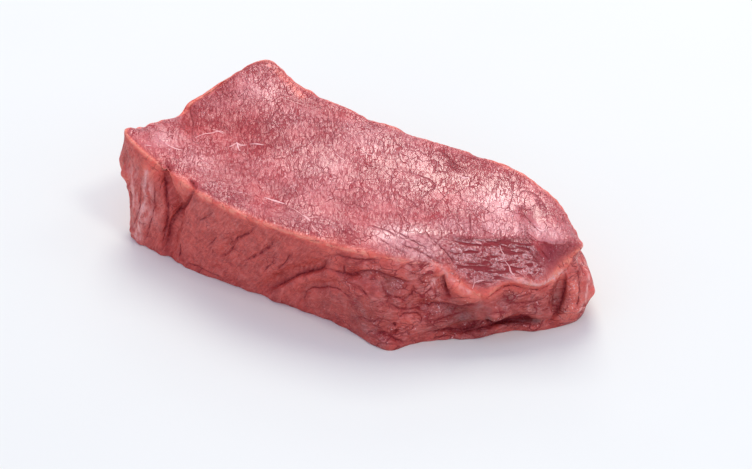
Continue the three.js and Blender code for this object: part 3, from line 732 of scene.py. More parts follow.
class Slab:
    """The slab's places as whole arrays: points, squares, and for each point its station, its
    distance from the rim, its height in the map of the sides, and whether it is on the face."""

    def __init__(self, size, columns, rows, layers):
        self.outline = Outline(size)
        grid, self.squares = box_grid(columns, rows, layers)
        a, b, c = grid.T
        side = np.maximum(abs(a), abs(b)) >= 1
        top = (c >= 1) & ~side
        under = (c <= -1) & ~side
        count = len(grid)
        self.points = np.zeros((count, 3))
        self.station = np.zeros(count)
        self.up = np.full(count, -SINK)
        self.away = np.full(count, FAR_AWAY)
        self.face = c >= 1
        self._set_side(side, station_of(a[side], b[side]), (c[side] + 1) / 2)
        self._set_top(top, a[top], b[top])
        self._set_under(under, a[under], b[under])
        fillet = ROUND_DROP * np.clip(1 - self.away / ROUND_REACH, 0, 1) ** 2
        self.points -= fillet[:, None] * (self.outline.outward(self.station) + (0, 0, 1))
        self.along = np.interp(self.station, SAMPLE_STATIONS, self.outline.distances)

    def _side_points(self, station, share):
        """Ruled from board to rim, swollen by a half sine and tucked in below the board."""
        outline = self.outline
        rim = closed_curve(outline.rim, station)
        height = -SINK + (rim[:, 2] + SINK) * share
        rise = np.clip(height / rim[:, 2], 0, 1)[:, None]
        points = closed_curve(outline.floor, station) * (1 - rise) + rim * rise
        swell = closed_curve(outline.form, station)[:, 2] * np.sin(np.pi * rise[:, 0])
        tuck = TUCK * np.clip(-height / SINK, 0, 1)
        points += outline.outward(station) * (swell - tuck)[:, None]
        points[:, 2] = height
        return points, height, rim[:, 2] - height

    def _set_side(self, side, station, share):
        """Points up the side, by their share of the way from below the board to the rim."""
        self.station[side] = station
        self.points[side], self.up[side], self.away[side] = self._side_points(station, share)

    def _set_top(self, top, a, b):
        """Level inside, from a patch over the station levels, and falling to the rim over the
        shoulder. Values of the rim are blended by a high power of the distance."""
        points = patch(self.outline.rim, a, b)
        samples = SAMPLE_STATIONS[:-1]
        rim = closed_curve(self.outline.rim, samples)
        form = closed_curve(self.outline.form, samples)
        distance = np.hypot(points[:, 0, None] - rim[:, 0], points[:, 1, None] - rim[:, 1])
        weight = (distance + 0.1) ** -BLEND_POWER
        weight /= weight.sum(axis=1, keepdims=True)
        drop = weight @ (form[:, 0] - rim[:, 2])
        shoulder = weight @ form[:, 1]
        away = distance.min(axis=1)
        nearest = distance.argmin(axis=1)
        share = np.clip(1 - away / shoulder, 0, 1)
        points[:, 2] = patch(self.outline.form, a, b)[:, 0] - drop * share**SHOULDER_CURVE
        self.points[top] = points
        self.station[top] = samples[nearest]
        self.away[top] = away
        self.up[top] = rim[nearest, 2] + away

    def _set_under(self, under, a, b):
        """The patch across the foot of the side, tucked in below the board."""
        stations = np.arange(STATION_COUNT, dtype=float)
        tucked = self._side_points(stations, np.zeros(STATION_COUNT))[0]
        self.points[under] = patch(tucked, a, b)

    def push(self, height):
        """Moves each point along its normal."""
        self.points += vertex_normals(self.points, self.squares) * height[:, None]

    def main_relief(self):
        """The solid's folds and lobes. The map of the sides is laid out afresh from the start of
        each one, so that it may run across the near left corner."""
        height = np.zeros(len(self.points))
        for fold in SIDE_FOLDS.values():
            height += fold_height(fold, self._side_map(fold[0][0][0]))
        for lobe in SIDE_LOBES.values():
            height += lobe_height(lobe, self._side_map(lobe[0][0]))
        places = self.points[self.face][:, :2]
        for fold in FACE_FOLDS.values():
            height[self.face] += fold_height(fold, places)
        for lobe in FACE_LOBES.values():
            height[self.face] += lobe_height(lobe, places)
        return np.where(self.up <= -SINK, 0, height)

    def _side_map(self, middle):
        """Distance round the slab, within half way round of a middle, and height."""
        perimeter = self.outline.perimeter
        round_it = (self.along - middle + perimeter / 2) % perimeter - perimeter / 2 + middle
        return np.stack([round_it, self.up], axis=1)


def camera_frame():
    """The camera's place and its right, up and back directions, in millimetres."""
    azimuth = math.radians(CAMERA_AZIMUTH)
    elevation = math.radians(CAMERA_ELEVATION)
    level = math.cos(elevation)
    back = np.array([math.sin(azimuth) * level, -math.cos(azimuth) * level, math.sin(elevation)])
    right = np.array([math.cos(azimuth), math.sin(azimuth), 0.0])
    up = np.cross(back, right)
    return np.array(CAMERA_AIM) + back * CAMERA_DISTANCE, right, up, back


class SeenSurface:
    """A shape as the camera sees it, for casting pixels of the photograph onto it."""

    def __init__(self, points, squares):
        self.tree = BVHTree.FromPolygons(points.tolist(), squares.tolist())
        self.place, self.right, self.up, self.back = camera_frame()

    def cast(self, pixels):
        """Where the rays through the pixels first meet the shape, and its normals there; a ray
        that misses is left out."""
        pixels = np.asarray(pixels, float)
        x = (pixels[:, 0] - PHOTO_WIDE / 2) / FOCAL_PIXELS
        y = (PHOTO_HIGH / 2 - pixels[:, 1]) / FOCAL_PIXELS
        ways = x[:, None] * self.right + y[:, None] * self.up - self.back
        hits = [self.tree.ray_cast(Vector(self.place), Vector(way)) for way in ways]
        hits = [hit for hit in hits if hit[0] is not None]
        places = np.array([tuple(hit[0]) for hit in hits]).reshape(-1, 3)
        normals = np.array([tuple(hit[1]) for hit in hits]).reshape(-1, 3)
        return places, normals

    def around(self, pixels, reach, points):
        """A bell curve of the points' distance from the place that a pixel shows, or from a path
        of them."""
        path, _ = self.cast(open_curve(pixels, 3) if np.ndim(pixels) > 1 else [pixels])
        if not len(path):
            return np.zeros(len(points))
        if len(path) > 1:
            return bell(nearest_on_path(path, points)[0], reach)
        return bell(np.linalg.norm(points - path[0], axis=1), reach)


def seen_at(points):
    """The photograph's pixels at which the camera sees the points."""
    place, right, up, back = camera_frame()
    depth = (place - points) @ back
    across = PHOTO_WIDE / 2 + (points - place) @ right / depth * FOCAL_PIXELS
    down = PHOTO_HIGH / 2 - (points - place) @ up / depth * FOCAL_PIXELS
    return across, down


def scarp_relief(slab):
    """How many pixels below the scarp's edge each point of the cut face is seen, and the rise of
    the meat above that edge, which falls off as a bell curve away from it and fades at its ends."""
    across, down = seen_at(slab.points)
    below = down - np.interp(across, *np.array(SCARP, float).T)
    ends = np.interp(across, *SCARP_FADE)
    rise = SCARP_RISE * np.clip(0.5 - below / SCARP_EDGE, 0, 1) * bell(below, SCARP_REACH)
    return np.where(slab.face, np.clip(below, -20, 20), -20), np.where(slab.face, rise * ends, 0)


def seen_relief(slab, seen):
    """The fine folds: a cleft with a rounded bottom along each path, which falls off as e to the
    minus distance in widths and fades at the path's ends, and a low step on its left. Returns the
    height, how far into a fold each point is, which the material paints as shade, and for every
    other fold in turn the signed distance from the crack, in half widths of the crack, and the
    crack's strength there."""
    count = len(slab.points)
    height = np.zeros(count)
    crease = np.zeros(count)
    nearest = {name: np.full(count, NO_CRACK) for name in CRACK_SETS}
    signed = {name: np.full(count, NO_CRACK) for name in CRACK_SETS}
    strength = {name: np.zeros(count) for name in CRACK_SETS}
    normals = vertex_normals(slab.points, slab.squares)
    for number, (pixels, depth, width, step) in enumerate(SEEN_FOLDS.values()):
        path, _ = seen.cast(open_curve(pixels, 4))
        if len(path) < 2:
            continue
        reach = 5 * width + 4
        inside = (slab.points > path.min(axis=0) - reach) & (slab.points < path.max(axis=0) + reach)
        near = np.nonzero(inside.all(axis=1))[0]
        away, offset, way, along = nearest_on_path(path, slab.points[near])
        left = (np.cross(way, offset) * normals[near]).sum(axis=1) > 0
        fade = np.minimum(1, np.minimum(4 * along, 4 * (1 - along)) + 0.1)
        narrowness = np.clip(1.7 * width - 0.85, 0.1, 1)
        cleft = np.exp(-(np.sqrt(away**2 + 0.2) - 0.45) / width) * narrowness
        side = np.where(left, 1, -0.3) * step * (1 - np.exp(-away / width)) * bell(away, 4)
        height[near] += (side - depth * cleft) * fade
        if depth < 0:
            continue
        # A soft band along each fold, which the material paints as shade
        soft = min(1, depth / 2) * bell(away, 0.9 * width) * fade
        crease[near] = np.maximum(crease[near], soft)
        name = CRACK_SETS[number % 2]
        closer = away < nearest[name][near]
        fresh = near[closer]
        nearest[name][fresh] = away[closer]
        signed[name][fresh] = (np.where(left, away, -away) / (0.22 + 0.13 * depth))[closer]
        strength[name][fresh] = (min(1, 0.4 + 0.4 * depth) * fade * np.clip(2.6 - away, 0, 1))[closer]
    for pixel, reach, rise in SEEN_LUMPS.values():
        height += rise * seen.around(pixel, reach, slab.points)
    return height, crease, signed, strength


def lumps(points, layers):
    """The sum of several noises, each with its own height, size and seed."""
    return sum(height * lattice_noise(points, size, seed) for height, size, seed in layers)


def small_relief(slab):
    """Lumps of the muscle bundles: noise stretched along the fibres, which run slantwise down the
    left of the sides and level round their right, rounder noise on the cut face, and ragged noise
    along the rim, the foot and the left end."""
    along = slab.along
    up = slab.up
    points = slab.points
    level = np.interp(along, *FIBRE_LEVEL)
    on_side = (0.3 + 0.7 * level) * lumps(points, SIDE_LUMPS)
    for share, (slant, layers) in ((1 - level, STEEP_RIBS), (level, LEVEL_RIBS)):
        turn = math.radians(slant)
        down_fibre = along * math.cos(turn) + up * math.sin(turn)
        across = up * math.cos(turn) - along * math.sin(turn)
        fibres = np.stack([down_fibre / RIB_STRETCH, across, 0 * along], axis=1)
        on_side += share * lumps(fibres, layers)
    inland = np.where(slab.face, np.clip(slab.away / 3, 0, 1), 0)
    height = on_side * (1 - inland) + lumps(points, FACE_LUMPS) * inland
    height += np.interp(along, *LEFT_END) * lumps(points, LEFT_END_LUMPS)
    height += bell(up, FOOT_HEIGHT) * lumps(points, FOOT_LUMPS)
    height += bell(slab.away, RIM_REACH) * (RIM_SWELL + lumps(points, RIM_LUMPS))
    return np.where(up <= -SINK, 0, height)


def beef_shape(size, columns, rows, layers):
    """The slab with its main and fine relief, its middle over the origin, and the values that
    its surface is coloured by, with each point's place in the map of the sides."""
    slab = Slab(size, columns, rows, layers)
    slab.push(slab.main_relief())
    middle = (slab.points.min(axis=0) + slab.points.max(axis=0)) / 2
    slab.points[:, :2] -= middle[:2]
    seen = SeenSurface(slab.points, slab.squares)
    fine, crease, signed, strength = seen_relief(slab, seen)
    below_scarp, rise = scarp_relief(slab)
    rim_width = np.interp(slab.station, *RIM_WIDTHS) * (1 + 0.55 * lattice_noise(slab.points, 5.0, 21))
    values = {
        "face": np.where(slab.face, np.clip(slab.away / 2.5, 0, 1), 0),
        "rim": bell(slab.away, rim_width),
        # How far into a fold each point is, painted as shade in the folds
        "crease": crease,
        "level": np.interp(slab.along, *FIBRE_LEVEL),
        "below_scarp": below_scarp,
        "side_place": np.stack([slab.along, slab.up, 0 * slab.up], axis=1) * METRES,
    }
    for name in CRACK_SETS:
        values[f"{name}_crack"] = np.clip(signed[name], -NO_CRACK, NO_CRACK)
        values[f"{name}_depth"] = strength[name]
    for name, places in TINTS.items():
        spots = [share * seen.around(pixels, reach, slab.points) for pixels, reach, share in places.values()]
        values[name] = np.max(spots, axis=0)
    # The far side is painted darker as shade
    values["side_shade"] = np.maximum(values["side_shade"], np.interp(slab.along, *FAR_SIDE_SHADE))
    slab.push(fine + rise + small_relief(slab))
    slab.points[:, 2] = np.maximum(slab.points[:, 2], 0)
    return slab, values


def new_mesh(name, points, faces, material):
    """A smooth-shaded object from points in millimetres, at the origin, in metres."""
    mesh = bpy.data.meshes.new(name)
    mesh.from_pydata((points * METRES).tolist(), [], faces)
    mesh.polygons.foreach_set("use_smooth", np.ones(len(mesh.polygons), bool))
    mesh.materials.append(material)
    mesh.update()
    piece = bpy.data.objects.new(name, mesh)
    bpy.context.collection.objects.link(piece)
    return piece


def set_values(piece, name, values):
    """Keeps a number, or a vector, for each point of the piece."""
    vector = values.ndim > 1
    layer = piece.data.attributes.new(name, "FLOAT_VECTOR" if vector else "FLOAT", "POINT")
    layer.data.foreach_set("vector" if vector else "value", values.astype(np.float32).ravel())


def read_mesh(name):
    """The points of a piece in millimetres, and its squares, as whole arrays."""
    piece = bpy.data.objects.get(name)
    if piece is None:
        raise RuntimeError(f"{name} has to be added first")
    points = np.zeros(3 * len(piece.data.vertices), np.float32)
    piece.data.vertices.foreach_get("co", points)
    corners = np.zeros(len(piece.data.loops), np.int32)
    piece.data.loops.foreach_get("vertex_index", corners)
    return points.reshape(-1, 3).astype(float) / METRES, corners.reshape(-1, 4)


def strand_shape(places, normals, width, sides=8):
    """A strand half sunk in the surface: an ellipse flattened along the normal, carried along
    the places, its size a power of a half sine, made uneven by a noise, so that it tapers to both
    ends. Returns its points, its squares and its two end faces."""
    count = len(places)
    across = unit(np.cross(unit(np.gradient(places, axis=0)), normals))
    taper = np.maximum(np.sin(np.pi * np.linspace(0, 1, count)), 0.02) ** 0.6
    taper *= 1 + 0.45 * lattice_noise(places, 1.3, 31)
    turn = np.arange(sides) * 2 * np.pi / sides
    ring = np.cos(turn)[:, None] * across[:, None] + 0.3 * np.sin(turn)[:, None] * normals[:, None]
    points = places[:, None] + 0.5 * width * taper[:, None, None] * ring
    numbers = np.arange(count * sides).reshape(count, sides)
    start = numbers[:-1]
    end = numbers[1:]
    squares = np.stack([start, np.roll(start, -1, 1), np.roll(end, -1, 1), end], axis=-1).reshape(-1, 4)
    return points.reshape(-1, 3), squares, np.stack([numbers[0][::-1], numbers[-1]])


class Value:
    """A number, colour or place that a material's nodes work out. Numbers have the usual
    arithmetic, each step of it one more node."""

    def __init__(self, paint, socket):
        self.paint = paint
        self.socket = socket

    def calculate(self, operation, first, second=0.5):
        return self.paint.value("ShaderNodeMath", {0: first, 1: second}, operation=operation)

    def __add__(self, other):
        return self.calculate("ADD", self, other)

    def __sub__(self, other):
        return self.calculate("SUBTRACT", self, other)

    def __rsub__(self, other):
        return self.calculate("SUBTRACT", other, self)

    def __mul__(self, other):
        return self.calculate("MULTIPLY", self, other)

    def __pow__(self, other):
        return self.calculate("POWER", self, other)

    def __abs__(self):
        return self.calculate("ABSOLUTE", self)

    def smaller(self, other):
        return self.calculate("MINIMUM", self, other)

    def larger(self, other):
        return self.calculate("MAXIMUM", self, other)

    def spread(self, low, high, to_low=0.0, to_high=1.0):
        """Carried from low-high to another range, smoothly and no further."""
        inputs = {"Value": self, "From Min": low, "From Max": high, "To Min": to_low, "To Max": to_high}
        return self.paint.value("ShaderNodeMapRange", inputs, interpolation_type="SMOOTHSTEP")

    def between(self, first, second):
        """A number between two others, with this one as the share of the second."""
        return self.paint.value("ShaderNodeMix", {0: self, 2: first, 3: second}, data_type="FLOAT")


def most(first, *others):
    """The largest of several numbers."""
    for other in others:
        first = first.larger(other)
    return first


class Paint:
    """A material built node by node. Scales are in waves or cells to the metre."""

    def __init__(self, name):
        self.material = bpy.data.materials.new(name)
        self.material.use_nodes = True
        self.tree = self.material.node_tree
        self.tree.nodes.clear()
        self.place = self.value("ShaderNodeTexCoord", {}, "Object")

    def value(self, kind, inputs, output=0, **settings):
        """Adds a node, with its settings and its inputs as plain or worked out values, and
        returns one of its outputs."""
        node = self.tree.nodes.new(kind)
        for name, setting in settings.items():
            setattr(node, name, setting)
        for name, given in inputs.items():
            if isinstance(given, Value):
                self.tree.links.new(given.socket, node.inputs[name])
            else:
                node.inputs[name].default_value = given
        return Value(self, node.outputs[output])

    def attribute(self, name, output="Fac"):
        return self.value("ShaderNodeAttribute", {}, output, attribute_name=name)

    def noise(self, place, scale, detail=3.0, roughness=0.5, output="Fac"):
        inputs = {"Vector": place, "Scale": scale, "Detail": detail, "Roughness": roughness}
        return self.value("ShaderNodeTexNoise", inputs, output)

    def cell_edges(self, place, scale, width):
        """Thin lines between irregular cells, by the distance from their edges."""
        inputs = {"Vector": place, "Scale": scale}
        edge = self.value("ShaderNodeTexVoronoi", inputs, "Distance", feature="DISTANCE_TO_EDGE")
        return edge.spread(0.0, width, 1, 0)

    def worm_lines(self, place, scale, width):
        """Thin winding lines where a noise passes its middle value."""
        return abs(self.noise(place, scale, 1.0) - 0.5).spread(0.0, width, 1, 0)

    def shifted(self, place, scale, amount):
        """The place moved about by a noise, so that what is drawn there loses its straight lines."""
        wander = self.noise(place, scale, 2.0, output="Color")
        centred = self.value("ShaderNodeVectorMath", {0: wander, 1: (0.5, 0.5, 0.5)}, operation="SUBTRACT")
        inputs = {0: centred, 1: (amount, amount, amount), 2: place}
        return self.value("ShaderNodeVectorMath", inputs, operation="MULTIPLY_ADD")

    def stretched(self, place, turn, stretch):
        """The place turned about Z by an angle and then drawn out along its own Y axis."""
        inputs = {"Vector": place, "Rotation": (0, 0, math.radians(turn)), "Scale": (1.0, stretch, 1.0)}
        return self.value("ShaderNodeMapping", inputs, vector_type="TEXTURE")

    def mixed(self, share, first, second):
        """A colour between two others, by the share of the second."""
        first, second = (tint if isinstance(tint, Value) else (*tint, 1.0) for tint in (first, second))
        return self.value("ShaderNodeMix", {0: share, 6: first, 7: second}, 2, data_type="RGBA")

    def bumps(self, height, distance, strength=1.0):
        inputs = {"Height": height, "Distance": distance, "Strength": strength}
        return self.value("ShaderNodeBump", inputs)

    def finish(self, inputs):
        """Ends the material with one surface shader, and returns it."""
        shader = self.value("ShaderNodeBsdfPrincipled", inputs)
        self.tree.links.new(shader.socket, self.tree.nodes.new("ShaderNodeOutputMaterial").inputs["Surface"])
        return self.material


class BeefPaint(Paint):
    """Moist raw meat. The cut face has cracks between its bundles and small long grains that
    break up its sheen; the sides have long fibres; folds have dark cracks and painted shade, and the
    rim is thin and orange, painted brighter for light shining through it. Painted sheen, highlights
    and glints lie on the cut face."""

    def __init__(self, looks):
        super().__init__("raw_beef")
        self.looks = looks
        self.side_place = self.attribute("side_place", "Vector")
        self.face = self.attribute("face")
        self.satin = self.attribute("satin")
        self.level = self.attribute("level")
        self.orange = self.attribute("orange")
        self.wet = self.attribute("wet")
        self.tone = self.noise(self.place, 55.0, 4.0)
        self.patches = self.noise(self.place, 150.0, 2.0)
        self.speckle = self.noise(self.place, 800.0)
        self.grit = self.noise(self.place, 1300.0, 2.0)
        self.draw_grain()
        self.draw_cracks()
        self.draw_facet()
        self.draw_sides()
        # Painted shade: the soft bands of the folds and the facet's troughs darken like the cracks
        crease = self.attribute("crease") * 0.55
        self.cracks_and_fold_shade = most(self.cracks, crease, self.trough_shade * 0.6, self.side_gaps * 0.7)
        self.gaps = most(self.face_gaps, self.side_gaps, self.trough_shade, self.cracks_and_fold_shade)
        self.unbroken = 1.0 - self.gaps

    def draw_grain(self):
        """Grains of the cut face: a fine noise stretched one way, or lengthwise in two bands.
        Between its bundles run winding lines and two sizes of crazing, and pits lie between
        the grains."""
        place = self.place
        way = self.stretched(place, GRAIN_TURN, 3.0)
        upright = self.noise(self.shifted(way, 400.0, 0.0014), 950.0, 4.0, 0.6)
        lengthwise_way = self.shifted(self.stretched(place, BAND_TURN, 4.0), 200.0, 0.003)
        lengthwise = self.noise(lengthwise_way, 1000.0, 4.0, 0.6)
        self.strokes = self.attribute("lengthwise").between(upright, lengthwise)
        patch_share = self.noise(place, 130.0).spread(0.34, 0.58, 0.2, 1.0)
        patchy = patch_share.between(0.6, 1.1)
        self.grains = self.strokes.spread(0.45, 0.7) * self.satin.between(0.5, 0.3) * patchy

        worms = self.worm_lines(self.shifted(way, 300.0, 0.003), 520.0, 0.045)
        worms *= self.noise(place, 70.0).spread(0.42, 0.62, 0.05, 1.0) * self.satin.between(0.9, 0.75)
        craze_way = self.shifted(self.stretched(place, GRAIN_TURN, 1.5), 200.0, 0.007)
        craze = self.cell_edges(craze_way, 170.0, 0.028) * 0.95
        craze *= self.noise(place, 90.0, 2.0).spread(0.42, 0.56)
        small_craze = self.cell_edges(self.shifted(way, 500.0, 0.003), 480.0, 0.05) * patch_share * 0.5
        pits = self.strokes.spread(0.3, 0.46, 1, 0) * self.satin.between(0.7, 0.08) * patchy
        self.face_gaps = most(craze, small_craze, worms, pits) * self.face

    def draw_cracks(self):
        """The fine folds' cracks: a thin line where the signed distance from a crack passes
        nought, with a wandering edge and broken here and there, and rounded lips beside it."""
        wobble = self.noise(self.place, 1100.0, 2.0) * 2.4 + self.noise(self.place, 330.0, 2.0) * 3.6 - 3.0
        lines = []
        lips = []
        for name in CRACK_SETS:
            distance = abs(self.attribute(f"{name}_crack") + wobble)
            depth = self.attribute(f"{name}_depth")
            lines.append(distance.spread(0.3, 1.1, 1, 0) * depth)
            lips.append(distance.spread(0.0, 2.0, 1, 0) * depth)
        self.cracks = most(*lines) * self.noise(self.place, 420.0).spread(0.38, 0.52, 0.25, 1.0)
        self.lips = most(*lips)

    def draw_facet(self):
        """The slanted facet below the scarp: long crests where a stretched noise is high and
        along winding lines, glints on the crests, and troughs where the noise is low. The crests are
        painted lighter as highlight, the glints are painted highlights, and the troughs are painted
        darker as shade."""
        below = self.attribute("below_scarp") + self.noise(self.place, 500.0, 2.0) * 3.0 - 1.5
        self.under_scarp = below.spread(-0.5, 0.5)
        self.slope = self.attribute("slope").spread(0.25, 0.7) * self.face * self.under_scarp
        way = self.shifted(self.stretched(self.place, RIDGE_TURN, 7.0), 130.0, 0.004)
        self.ridge = self.noise(way, 620.0, 2.0)
        lines = [self.worm_lines(way, scale, 0.05) for scale in (620.0, 1000.0)]
        self.crest_highlight = most(self.ridge.spread(0.48, 0.58) * 0.5, *lines) * self.slope
        self.glints = self.grit.spread(0.42, 0.54) * self.crest_highlight
        self.trough_shade = self.ridge.spread(0.41, 0.48, 1, 0) * self.slope * 0.9

    def draw_sides(self):
        """The sides: fibres that are steep or level by their lie, lumps, long winding lines, and
        crumpled lines and cells where the fibres lie level."""
        steep_way = self.shifted(self.stretched(self.side_place, STEEP_TURN, 3.5), 150.0, 0.003)
        level_way = self.shifted(self.stretched(self.side_place, LEVEL_TURN, 3.0), 150.0, 0.003)
        steep = self.noise(steep_way, 1100.0, 4.0)
        self.fibres = self.level.between(steep, self.noise(level_way, 1000.0, 4.0))
        self.lumps = self.noise(self.place, 180.0, 5.0, 0.65)
        long_line = self.worm_lines(self.shifted(self.side_place, 200.0, 0.004), 170.0, 0.02) * 0.5
        long_line *= self.noise(self.place, 110.0, 1.0).spread(0.5, 0.62)
        way = self.shifted(self.stretched(self.side_place, CRUMPLE_TURN, 2.2), 260.0, 0.004)
        crumple = most(self.worm_lines(way, 380.0, 0.035) * 0.7, self.cell_edges(way, 270.0, 0.05))
        crumple *= self.patches.spread(0.4, 0.58) * self.level.between(0.12, 1.0)
        crumple *= self.orange.between(1.0, 0.1)
        self.side_gaps = most(long_line, crumple) * (1.0 - self.face)

    def colour(self):
        """The face and the sides blended, and then layers of colour, each laid over the last by
        its share. Among them are painted light and shade: the rim painted brighter and its highlight,
        sheen, shade, highlights on the crests, glints and the shade of the folds."""
        looks = self.looks
        face = self.mixed(self.tone.spread(0.35, 0.65), looks.face_dark, looks.face_light)
        face = self.mixed(self.grains, face, looks.grain)
        side_tone = (self.lumps * 0.6 + self.fibres * 0.4).spread(0.36, 0.62)
        side = self.mixed(side_tone, looks.side_dark, looks.side_light)
        # Painted shade low on the sides and on the far side
        side = self.mixed(self.attribute("side_shade") * 0.6, side, looks.side_shade)
        side = self.mixed(self.fibres.spread(0.52, 0.64) * self.level.between(0.3, 0.5), side, looks.grain)

        rim = self.attribute("rim")
        # The orange rim and lips, painted brighter for light shining through them
        orange = most(rim * 0.95, self.orange) * self.speckle.spread(0.25, 0.5, 0.6, 1)
        # Painted highlight along the thinnest part of the rim and the lips
        rim_highlight = most((rim**3.5 * 1.3).smaller(1.0), self.orange * 0.5)
        rim_highlight *= self.noise(self.place, 260.0, 4.0).spread(0.4, 0.56, 0.15, 1.0)
        tall_way = self.value("ShaderNodeMapping", {"Vector": self.place, "Scale": (1.0, 1.0, 0.22)})
        side_streaks = self.noise(self.shifted(tall_way, 90.0, 0.006), 420.0)
        streaks = self.face.between(side_streaks, self.speckle).spread(0.38, 0.56)
        # Painted sheen on the cut face above the scarp, patchy with the tone
        painted_sheen = self.attribute("sheen") * self.face * (1.0 - self.under_scarp)
        painted_sheen *= self.tone.spread(0.38, 0.6, 0.45, 1.0)
        # Painted glint specks, more of them on the wet spots
        glint_specks = (self.grit + self.wet * 0.07).spread(0.63, 0.7)
        glint_specks *= most(self.patches.spread(0.5, 0.6), self.wet) * most(self.face, self.level)
        layers = (
            # Orange rim, painted brighter for light shining through it
            (orange, looks.rim),
            # Painted highlight on the rim
            (rim_highlight, looks.rim_highlight_colour),
            # Browned meat and painted shade in the hollows
            (self.attribute("browned_and_shade"), looks.browned_and_shade),
            # Pale films, and painted sheen and highlights at the shoulder and the lip's edge
            (self.attribute("pale") * streaks, looks.film),
            # Painted sheen
            (painted_sheen, looks.sheen),
            # Painted shade below the scarp's edge and in the hollows of the cut face
            (self.attribute("shade") * self.face * self.under_scarp, looks.shade),
            # Painted highlight on the facet's crests
            (self.crest_highlight * 0.95, looks.grain),
            # Painted glints on the crests
            (self.glints * 0.8, looks.fat),
            # Painted glint specks
            (glint_specks * 0.8, looks.fat),
            # The gaps take in the painted shade of the folds and troughs as well
            (self.gaps, looks.gap),
            # Cracks, and painted shade in the folds and troughs
            (self.cracks_and_fold_shade, looks.crack),
        )
        colour = self.mixed(self.face, side, face)
        for share, tint in layers:
            colour = self.mixed(share, colour, tint)
        return colour

    def height(self):
        """The fine relief: grains, fibres and ridges, lower in the gaps and beside the cracks."""
        fine = self.noise(self.place, 2200.0, 2.0)
        coarse_way = self.shifted(self.stretched(self.place, GRAIN_TURN, 2.6), 260.0, 0.002)
        grain = self.strokes * 1.6 + fine * 0.5 + self.noise(coarse_way, 430.0, 2.0) * 1.4
        face = grain * self.satin.between(1.0, 0.1) + self.ridge * self.slope * 6.0
        side = self.fibres * 2.2 + self.lumps * self.level.between(2.0, 3.8) + self.speckle * 2.2
        return self.face.between(side, face) + self.unbroken * 1.2 - self.lips * 1.2

    def moisture(self):
        """How wet each place is: patches of the face and the sides, less on matt meat, more on
        glints and wet spots, and none in the gaps."""
        moist = self.noise(self.place, 45.0).spread(0.36, 0.6, 0.45, 1.0)
        face = self.satin.between(moist, 1.0) * self.attribute("matt").between(0.8, 0.15)
        side = self.noise(self.place, 240.0).spread(0.46, 0.66, 0.15, 0.8) * self.level.between(0.35, 1.0)
        side = most(side, self.wet * self.speckle.spread(0.42, 0.56))
        return self.unbroken * self.face.between(side, most(face, self.glints * 0.9))

    def roughness(self):
        """Uneven on the face, even on the sides, and rougher in the gaps."""
        middle = self.looks.face_roughness
        face = self.tone.spread(0.3, 0.7, middle - 0.04, middle + 0.06)
        return self.face.between(self.looks.side_roughness, face) + self.gaps * 0.3


def beef_material(looks):
    paint = BeefPaint(looks)
    bumps = paint.bumps(paint.height(), MEAT_BUMPS)
    return paint.finish(
        {
            "Base Color": paint.colour(),
            "Roughness": paint.roughness(),
            "Normal": bumps,
            "Subsurface Weight": 0.25,
            "Subsurface Radius": (1.0, 0.35, 0.25),
            "Subsurface Scale": 0.0012,
            "IOR": 1.45,
            "Coat Weight": paint.moisture(),
            "Coat Roughness": 0.18,
            "Coat IOR": 1.75,
            "Coat Normal": bumps,
        }
    )


def fat_material(looks):
    """Fat and sinew, from white to a pink film, moist, with a soft uneven tone."""
    paint = Paint("white_fat")
    white = paint.attribute("white") * paint.noise(paint.place, 900.0).spread(0.3, 0.7, 0.5, 1.0)
    bumps = paint.bumps(paint.noise(paint.place, 2500.0), FAT_BUMPS, 0.8)
    base = paint.mixed(white, looks.film, looks.fat)
    return paint.finish({"Base Color": base, "Roughness": 0.42, "IOR": 1.35, "Normal": bumps})


def floor_material(looks):
    """Matt near-white, with a very faint unevenness of tone."""
    paint = Paint("pale_floor")
    tone = paint.noise(paint.place, 6.0).spread(0.3, 0.7)
    darker = [value * 0.985 for value in looks.floor]
    return paint.finish({"Base Color": paint.mixed(tone, darker, looks.floor), "Roughness": 0.9})


def colour_property(name, description, default):
    return FloatVectorProperty(
        name=name, description=description, default=default, subtype="COLOR", size=3, min=0.0, max=1.0
    )


def share_property(name, description, default):
    return FloatProperty(
        name=name, description=description, default=default, subtype="FACTOR", min=0.0, max=1.0
    )


def size_property(name, description, millimetres):
    return FloatProperty(
        name=name, description=description, default=millimetres * METRES, min=0.01, unit="LENGTH"
    )


